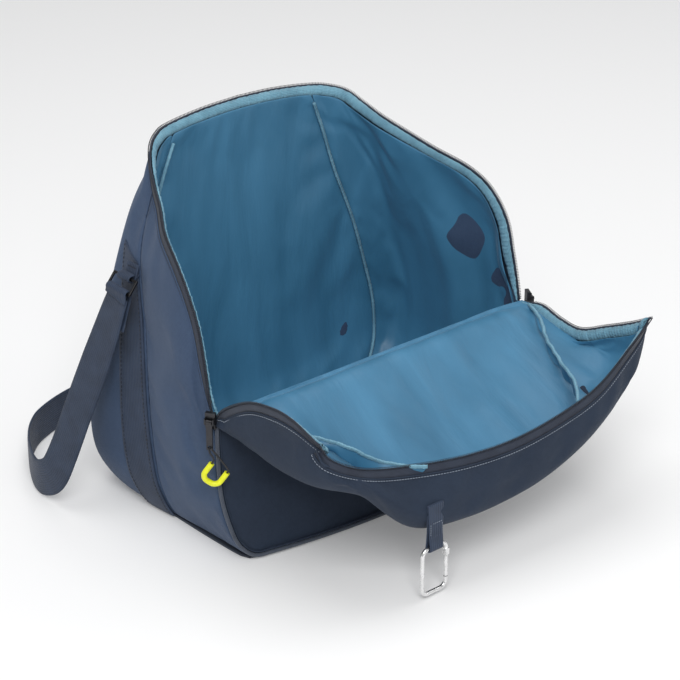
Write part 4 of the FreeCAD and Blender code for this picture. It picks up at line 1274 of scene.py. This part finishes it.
# the rim runs from the left zip end along the left wing, the front and the right wing
side_rows = np.linspace(0.12, 6, 60)
left_rim = through(FLAP[0], side_rows)
front_columns = np.linspace(0, 10, 160)
front_rim = flap_surface(front_columns, [6.0])[0]
right_rim = through(FLAP[10], side_rows)[::-1]
flap_rim = smooth(np.vstack([left_rim, front_rim[2:-2:3], right_rim]), 360)
left_in = unit(through(FLAP[1], side_rows) - left_rim)
right_in = unit(through(FLAP[9], side_rows) - through(FLAP[10], side_rows))[::-1]
front_in = unit(flap_surface(front_columns, [5.7])[0] - front_rim)
source = np.vstack([left_rim, front_rim[2:-2:3], right_rim])
nearest = np.array([np.argmin(np.linalg.norm(source - p, axis=1)) for p in flap_rim])
rim_in = np.vstack([left_in, front_in[2:-2:3], right_in])[nearest]
for k in range(4):
    rim_in[1:-1] = unit(rim_in[:-2] + 2 * rim_in[1:-1] + rim_in[2:])
rim_t_dir = tangents(flap_rim)
rim_face = unit(np.cross(rim_in, rim_t_dir))
outward_guess = np.array([flap_rim[:, 0] * 1.2, np.full(len(flap_rim), -0.16),
                          np.full(len(flap_rim), -0.02)]).T
rim_face = np.where((rim_face * outward_guess).sum(axis=1, keepdims=True) < 0, -rim_face, rim_face)
rim_run = np.concatenate([[0], np.cumsum(np.linalg.norm(np.diff(flap_rim, axis=0), axis=1))])
fade = np.clip(np.minimum(rim_run, rim_run[-1] - rim_run) / 0.022, 0.12, 1)[:, None]
print("flap rim", round(float(rim_run[-1]), 3), "m")

# %% Flap cloth
flap_columns = np.concatenate([np.linspace(0, 1, 9)[:-1], np.linspace(1, 9, 72)[:-1], np.linspace(9, 10, 9)])
flap_rows = np.linspace(0, 6, 56)
outer = flap_surface(flap_columns, flap_rows)


def lower_edge(grid, drop):
    """Draws the rim edges of a flap grid down the surface, by drop metres."""
    out = grid.copy()
    for j in range(grid.shape[0]):
        part_way = min(1.0, flap_rows[j] / 0.9)
        for edge_column, step in ((0, 1), (-1, -1)):
            run = np.linalg.norm(grid[j, edge_column] - grid[j, edge_column + 8 * step])
            f = min(0.9, drop * part_way / max(run, 1e-6))
            for m in range(8):
                g = f * (1 - m / 8)
                out[j, edge_column + m * step] = grid[j, edge_column + m * step] * (1 - g) + grid[j,
                                                                                                  edge_column + 8 * step] * g
    for i in range(grid.shape[1]):
        run = np.linalg.norm(out[-1, i] - out[-8, i])
        f = min(0.9, drop / max(run, 1e-6))
        for m in range(7):
            g = f * (1 - m / 7)
            out[-1 - m, i] = out[-1 - m, i] * (1 - g) + out[-8, i] * g
    return out


outer_edge = lower_edge(outer, TAPE)
flap_cloth = add_grid("flap_cloth", outer_edge, (0, -0.2, -1))
settle(flap_cloth, border(outer_edge.shape[0], outer_edge.shape[1]), slack=0.008, limit=0.004,
       pull=(0, -0.2, -0.8))
thicken(flap_cloth, 0.0032)
paint(flap_cloth, navy_front)
share(flap_cloth)
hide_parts("flap_panel", "fold_panel", "flap_side_left", "flap_side_right", "fold_side_left",
            "fold_side_right")

# %% Flap lining
flap_normals = unit(np.cross(np.gradient(outer, axis=1), np.gradient(outer, axis=0)))
if flap_normals[30, 40, 2] > 0:
    flap_normals = -flap_normals
for k in range(3):
    flap_normals[:, 1:-1] = unit(flap_normals[:, :-2] + flap_normals[:, 1:-1] + flap_normals[:, 2:])
across_run = np.concatenate([[0], np.cumsum(np.linalg.norm(np.diff(outer[30], axis=0), axis=1))])
soft = folds(across_run, 31, ((0.11, 1.0), (0.052, 0.8), (0.024, 0.4)))[None, :]
rise = np.sin(np.pi * np.linspace(0, 1, 56) ** 0.8)[:, None]
lining_depth = 0.0064 + 0.0020 * (1 + soft) * rise
flap_inside = lower_edge(outer, 0.011) - flap_normals * lining_depth[:, :, None]
flap_sheet = add_grid("flap_lining_sheet", flap_inside, (0, 0.2, 1))
settle(flap_sheet, border(56, len(flap_columns)), slack=0.014, limit=0.005, pull=(0, 0, -1.0), stiff=0.5)
thicken(flap_sheet, LINING_T)
paint(flap_sheet, blue_satin)
share(flap_sheet)
declare_sheet(flap_sheet, flap_inside)
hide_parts("flap_lining", "fold_lining")
print("flap cloth", outer.shape)

# %% Flap rim trims
flap_tape = band_between("flap_tape_cloth", flap_rim + rim_in * (TAPE + 0.001) * fade + rim_face * -0.0004,
                         flap_rim + rim_face * -0.0004, rim_face, None, 4, ripple=0.0001, wave=0.02)
finish_with(flap_tape, "SOLIDIFY", "tape", thickness=0.0012, offset=-1.0)
paint(flap_tape, navy_tape)
share(flap_tape)
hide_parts("flap_zip_tape")
flap_coil = add_coil("flap_coil_loops", flap_rim, rim_face, rim_in, None)
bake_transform(flap_coil)
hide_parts("flap_zip_coil")
fine_index = np.linspace(0, len(flap_rim) - 1, 900)
fine_rim = through(flap_rim, fine_index)
fine_in = unit(through(rim_in, fine_index))
fine_face = unit(through(rim_face, fine_index))
fine_fade = through(np.repeat(fade, 3, axis=1), fine_index)[:, :1]
flap_binding = band_between("flap_binding_gathered",
                            fine_rim + fine_in * 0.0130 * fine_fade - fine_face * 0.0046,
                            fine_rim + fine_in * 0.0014 * fine_fade - fine_face * 0.0026, -fine_face, None, 6,
                            bulge=0.0022, ripple=0.0008, seed=33)
finish_with(flap_binding, "SOLIDIFY", "tape", thickness=0.0008, offset=-1.0)
paint(flap_binding, light_binding)
share(flap_binding)
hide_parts("flap_binding")
flap_hem = flap_rim + rim_in * (TAPE + 0.0028) * fade + rim_face * 0.0006
flap_stitches = add_stitches("flap_rim_stitches", flap_hem, rim_face, pitch=0.0030, length=0.0022,
                             width=0.0007)
paint(flap_stitches, pale_thread)
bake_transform(flap_stitches)
flap_lip = add_rod("flap_hem_fold", flap_rim + rim_in * (TAPE + 0.0008) * fade + rim_face * 0.0002, 0.0008,
                   None, 6)
paint(flap_lip, navy_front)
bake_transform(flap_lip)

# %% [markdown]
# ## Gussets in the flap
# Each wing is joined to the bowl by a bound seam that stands up from the lining, so a shallow pocket forms beyond it.
# The seam is a narrow upright strip with a light binding over its edge.

# %% Gussets
CREASE = mm([(199, -113, 149), (190, -131, 150), (178, -150, 149), (163, -171, 147), (150, -190, 145),
             (139, -214, 141),
             (129, -240, 136), (113, -262, 133), (99, -276, 133)])
tree_points = flap_inside.reshape(-1, 3)


def on_lining(points):
    """The nearest lining points."""
    return np.array([tree_points[np.argmin(np.linalg.norm(tree_points - p, axis=1))] for p in points])


for side, tag in ((1, "right"), (-1, "left")):
    crest = smooth(CREASE * np.array([side, 1, 1]), 90)
    run = np.concatenate([[0], np.cumsum(np.linalg.norm(np.diff(crest, axis=0), axis=1))])
    sideways = folds(run, 60 + side, ((0.06, 1.0), (0.021, 0.5)))[:, None] * np.array([side * 0.0014, 0, 0])
    crest = crest + sideways * np.sin(np.pi * np.linspace(0, 1, 90))[:, None]
    foot_line = crest.copy()
    close = on_lining(crest)
    foot_line = close * 0.9 + crest * 0.1
    foot_line = smooth(foot_line[::6], 90)
    foot_line[:, 2] -= 0.002
    s = np.linspace(0, 1, 7)[None, :, None]
    strip_wall = foot_line[:, None] * (1 - s) + crest[:, None] * s
    strip_wall[:, :, 0] += side * 0.004 * np.sin(np.pi * s[0, :, 0])[None, :] * folds(run, 80)[:, None]
    gusset = add_grid("gusset_wall_" + tag, strip_wall, (-side, 0, 0.2))
    finish_with(gusset, "SOLIDIFY", "cloth", thickness=0.0008, offset=0.0)
    finish_with(gusset, "SUBSURF", "round", levels=1, render_levels=1)
    paint(gusset, blue_satin)
    share(gusset)
    fine = smooth(crest, 260)
    wobble = folds(np.linspace(0, run[-1], 260), 90 + side, ((0.009, 0.6), (0.0042, 1.0), (0.0021, 0.6)))
    edge = add_rod("gusset_binding_" + tag, fine, 0.0018, None, 8, radii=0.0018 + 0.0004 * wobble)
    paint(edge, light_binding)
    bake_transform(edge)
print("gusset seam", round(float(run[-1]), 3), "m")

# %% [markdown]
# ## The shoulder strap
# One long strip of webbing runs from ring to ring. It hangs from each ring, comes down outside the bag and lies on the
# floor behind it. Each end passes round its ring and is sewn back on itself. Strap webbing keeps its width, so it is
# drawn directly as a band rather than simulated.

# %% Strap
STRAP = mm([(205.6, 47, 227.0), (212, 50, 208), (228, 57, 160), (246, 68, 105), (258, 77, 64), (265, 88, 36),
            (266, 108, 23),
            (262, 127, 20.6), (253, 147, 20.3), (239, 171, 20.3), (221, 193, 20.3), (196, 212, 20.3),
            (150, 229, 20.3),
            (80, 239, 20.3), (0, 242, 20.3)])
ACROSS = unit([(0, 1, 0.05), (0, 1, 0.1), (0.1, 1, 0.15), (0.1, 1, 0.2), (0.05, 0.9, 0.35), (0, 0.62, 0.75),
               (0, 0.2, 0.98),
               (0, 0.05, 1), (0, 0, 1), (0, 0, 1), (0, 0, 1), (0, 0, 1), (0, 0, 1), (0, 0, 1), (0, 0, 1)])
WIDTHS = np.array([0.031, 0.035] + [0.039] * 13)
t = np.linspace(0, 14, 150)
strap_half = through(STRAP, t)
strap_line = np.vstack([strap_half, flipped(strap_half)[-2::-1]])
across_half = unit(through(ACROSS, t))
strap_across = np.vstack([across_half, flipped(across_half)[-2::-1]])
width_half = np.interp(t, np.arange(15), WIDTHS)
strap_width = np.concatenate([width_half, width_half[-2::-1]])
strap_grid = band_grid(strap_line, strap_across, strap_width, 0.0013, 9)
edge_drop = np.array([1.0, 0.25, 0, 0, 0, 0, 0, 0.25, 1.0]) * 0.0005
strap_n = unit(np.cross(np.gradient(strap_grid, axis=1), np.gradient(strap_grid, axis=0)))
if strap_n[3, 4, 0] < 0:
    strap_n = -strap_n
strap_grid = strap_grid - strap_n * edge_drop[None, :, None]
strap = add_grid("shoulder_strap_webbing", strap_grid, tuple(strap_n[len(strap_n) // 2, 4]), "strap")
thicken(strap, 0.0026)
paint(strap, navy_webbing)
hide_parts("shoulder_strap")
strap_length = float(np.linalg.norm(np.diff(strap_line, axis=0), axis=1).sum())
print("strap", round(strap_length, 3), "m long")

# %% Strap ends, loops and anchors
FOLDED_T = 0.0016
ANCHOR_T = 0.0018
for side, tag in ((1, "right"), (-1, "left")):
    turn = np.array([side, 1, 1])
    wrap = []
    for a in np.linspace(0, 1, 9):
        ang = math.radians(-20 + 200 * a)
        wrap.append((0.2025 + 0.0036 * math.cos(ang), 0.047, 0.2305 + 0.0036 * math.sin(ang)))
    outside = [strap_half[0] + (strap_half[3] - strap_half[0]) * f for f in (0.9, 0.3)]
    tail = [np.array((0.1985, 0.0471, 0.2250)), np.array((0.2030, 0.0486, 0.2110)),
            np.array((0.2062, 0.0500, 0.2000)),
            np.array((0.2085, 0.0508, 0.1935))]
    end_line = smooth(np.vstack([outside, wrap, tail]), 46) * turn
    end_across = np.tile(np.array([[0.0, 1.0, 0.06]]), (46, 1))
    end_width = np.interp(np.linspace(0, 1, 46), [0, 0.3, 0.6, 1], [0.034, 0.030, 0.031, 0.036])
    end = add_grid("strap_end_webbing_" + tag, band_grid(end_line, end_across, end_width, 0.0, 7),
                   (side, 0, 0), "strap")
    finish_with(end, "SOLIDIFY", "webbing", thickness=FOLDED_T, offset=0.0)
    finish_with(end, "SUBSURF", "round", levels=1, render_levels=1)
    paint(end, navy_webbing)
    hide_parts("strap_end_" + tag)
    loop_line = []
    for a in np.linspace(0, 1, 11):
        ang = math.radians(105 - 210 * a)
        loop_line.append((0.1935 + 0.0031 * math.cos(ang), 0.047, 0.2415 + 0.0031 * math.sin(ang)))
    loop_line = [(0.1893, 0.047, 0.2448)] + loop_line + [(0.1893, 0.047, 0.2382)]
    loop_line = smooth(loop_line, 26) * turn
    loop_grid = band_grid(loop_line, np.tile([[0.0, 1.0, 0.0]], (26, 1)), 0.020, 0.0, 6)
    wrap_loop = add_grid("ring_loop_webbing_" + tag, loop_grid, (side, 0, 0), "strap")
    finish_with(wrap_loop, "SOLIDIFY", "webbing", thickness=FOLDED_T, offset=0.0)
    finish_with(wrap_loop, "SUBSURF", "round", levels=1, render_levels=1)
    paint(wrap_loop, navy_webbing)
    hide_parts("strap_loop_" + tag)
    for k, (z0, z1) in enumerate(((0.2375, 0.2535), (0.2385, 0.2440))):
        pad_line = smooth([(0.1835, 0.047, z1), (0.1862, 0.047, (z0 + z1) / 2),
                           (0.1889, 0.047, z0 + 0.002 * k)], 12) * turn
        pad = add_grid("anchor_webbing_%s_%d" % (tag, k),
                       band_grid(pad_line, np.tile([[0.0, 1.0, 0.0]], (12, 1)), 0.0195,
                                                                   0.0, 6), (side, 0, 0.4), "bag")
        finish_with(pad, "SOLIDIFY", "webbing", thickness=ANCHOR_T, offset=0.0)
        finish_with(pad, "SUBSURF", "round", levels=1, render_levels=1)
        paint(pad, navy_webbing)
        if k == 0:
            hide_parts("strap_anchor_" + tag)
    tack = np.array([(0.1860, 0.040, 0.2500), (0.1860, 0.054, 0.2500)]) * turn
    tack_row = add_stitches("anchor_stitches_" + tag, smooth(tack, 10),
                            np.tile([[side * 0.95, 0, 0.31]], (10, 1)),
                            pitch=0.0022, length=0.0016, width=0.0008, body="bag")
    paint(tack_row, dark_thread)
    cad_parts["ring_" + tag].data.materials.clear()
    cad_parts["ring_" + tag].data.materials.append(ring_metal)

# %% [markdown]
# ## The webbing tab and the snap hook
# A folded webbing tab is sewn under the flap, and a small snap hook hangs in its fold. The box of stitches is what
# keeps the two layers together.

# %% Tab and hook
HOOK = np.array((-0.097, -0.285, 0.053))
fold_line = [(0, 0.0006, 0.0452), (0, 0.0010, 0.040), (0, 0.0012, 0.030), (0, 0.0013, 0.018),
             (0, 0.0022, 0.008)]
for a in np.linspace(0, 1, 11):
    ang = math.radians(30 - 240 * a)
    fold_line.append((0, 0.0034 * math.cos(ang), 0.0034 * math.sin(ang)))
fold_line += [(0, -0.0022, 0.008), (0, -0.0013, 0.018), (0, -0.0012, 0.030), (0, -0.0010, 0.040),
              (0, -0.0006, 0.0452)]
tab_line = smooth(fold_line, 70) + HOOK
tab_grid = band_grid(tab_line, np.tile([[1.0, 0.0, 0.0]], (70, 1)), 0.020, 0.0, 7)
lean = np.clip((tab_grid[:, :, 2] - HOOK[2]) / 0.045, 0, 1)
tab_grid[:, :, 0] -= 0.0016 * (1 - lean) * (tab_grid[:, :, 0] - HOOK[0]) / 0.010
tab = add_grid("hook_tab_webbing", tab_grid, (0, -1, 0), "flap")
finish_with(tab, "SOLIDIFY", "webbing", thickness=0.0015, offset=0.0)
finish_with(tab, "SUBSURF", "round", levels=1, render_levels=1)
paint(tab, navy_webbing)
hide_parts("hook_tab")
box_corners = np.array([(-0.0072, 0.012), (0.0072, 0.012), (0.0072, 0.026), (-0.0072, 0.026),
                        (-0.0072, 0.012)])
for k in range(4):
    a, b = box_corners[k], box_corners[k + 1]
    line = np.array([(HOOK[0] + a[0] + (b[0] - a[0]) * f, HOOK[1] - 0.0023,
                      HOOK[2] + a[1] + (b[1] - a[1]) * f)
                     for f in np.linspace(0, 1, 10)])
    row = add_stitches("tab_stitches_%d" % k, line, np.tile([[0.0, -1.0, 0.0]], (10, 1)), pitch=0.0024,
                       length=0.0017,
                       width=0.0006, body="flap")
    paint(row, pale_thread)
for node in ("hook_frame", "hook_gate", "hook_pin"):
    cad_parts[node].data.materials.clear()
    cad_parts[node].data.materials.append(bare_alloy)

# %% [markdown]
# ## Inner seams, sliders and grips
# The raw edges at the two upright corners inside are bound in light tape. The zip sliders are cast metal, and the
# grips are bright rubber.

# %% Inner seams
for side, tag in ((1, "right"), (-1, "left")):
    column = 48 if side > 0 else 91
    line = inside[1:-1, column].copy()
    line = line + np.array([-side * 0.0022, -0.0022, 0])
    fine = smooth(line, 240)
    wobble = folds(np.linspace(0, 0.35, 240), 120 + side, ((0.009, 0.5), (0.0042, 1.0), (0.0021, 0.5)))
    seam_rod = add_rod("inner_seam_binding_" + tag, fine, 0.0018, "bag", 8, radii=0.0017 + 0.0003 * wobble)
    paint(seam_rod, light_binding)
    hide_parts("inner_seam_" + tag)

# %% Metal, rubber and board nodes
board_plastic = hard_finish("board_plastic", (0.04, 0.04, 0.045), metallic=0.0, roughness=0.6)
NODE_FINISHES = (("slider_left", gunmetal), ("slider_right", gunmetal), ("puller_left", gunmetal),
                 ("puller_right", gunmetal), ("pull_grip_left", yellow_rubber),
                 ("pull_grip_right", yellow_rubber),
                 ("base_board", board_plastic))
for node, finish in NODE_FINISHES:
    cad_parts[node].data.materials.clear()
    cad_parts[node].data.materials.append(finish)
print("finishes set on", len(NODE_FINISHES), "nodes")
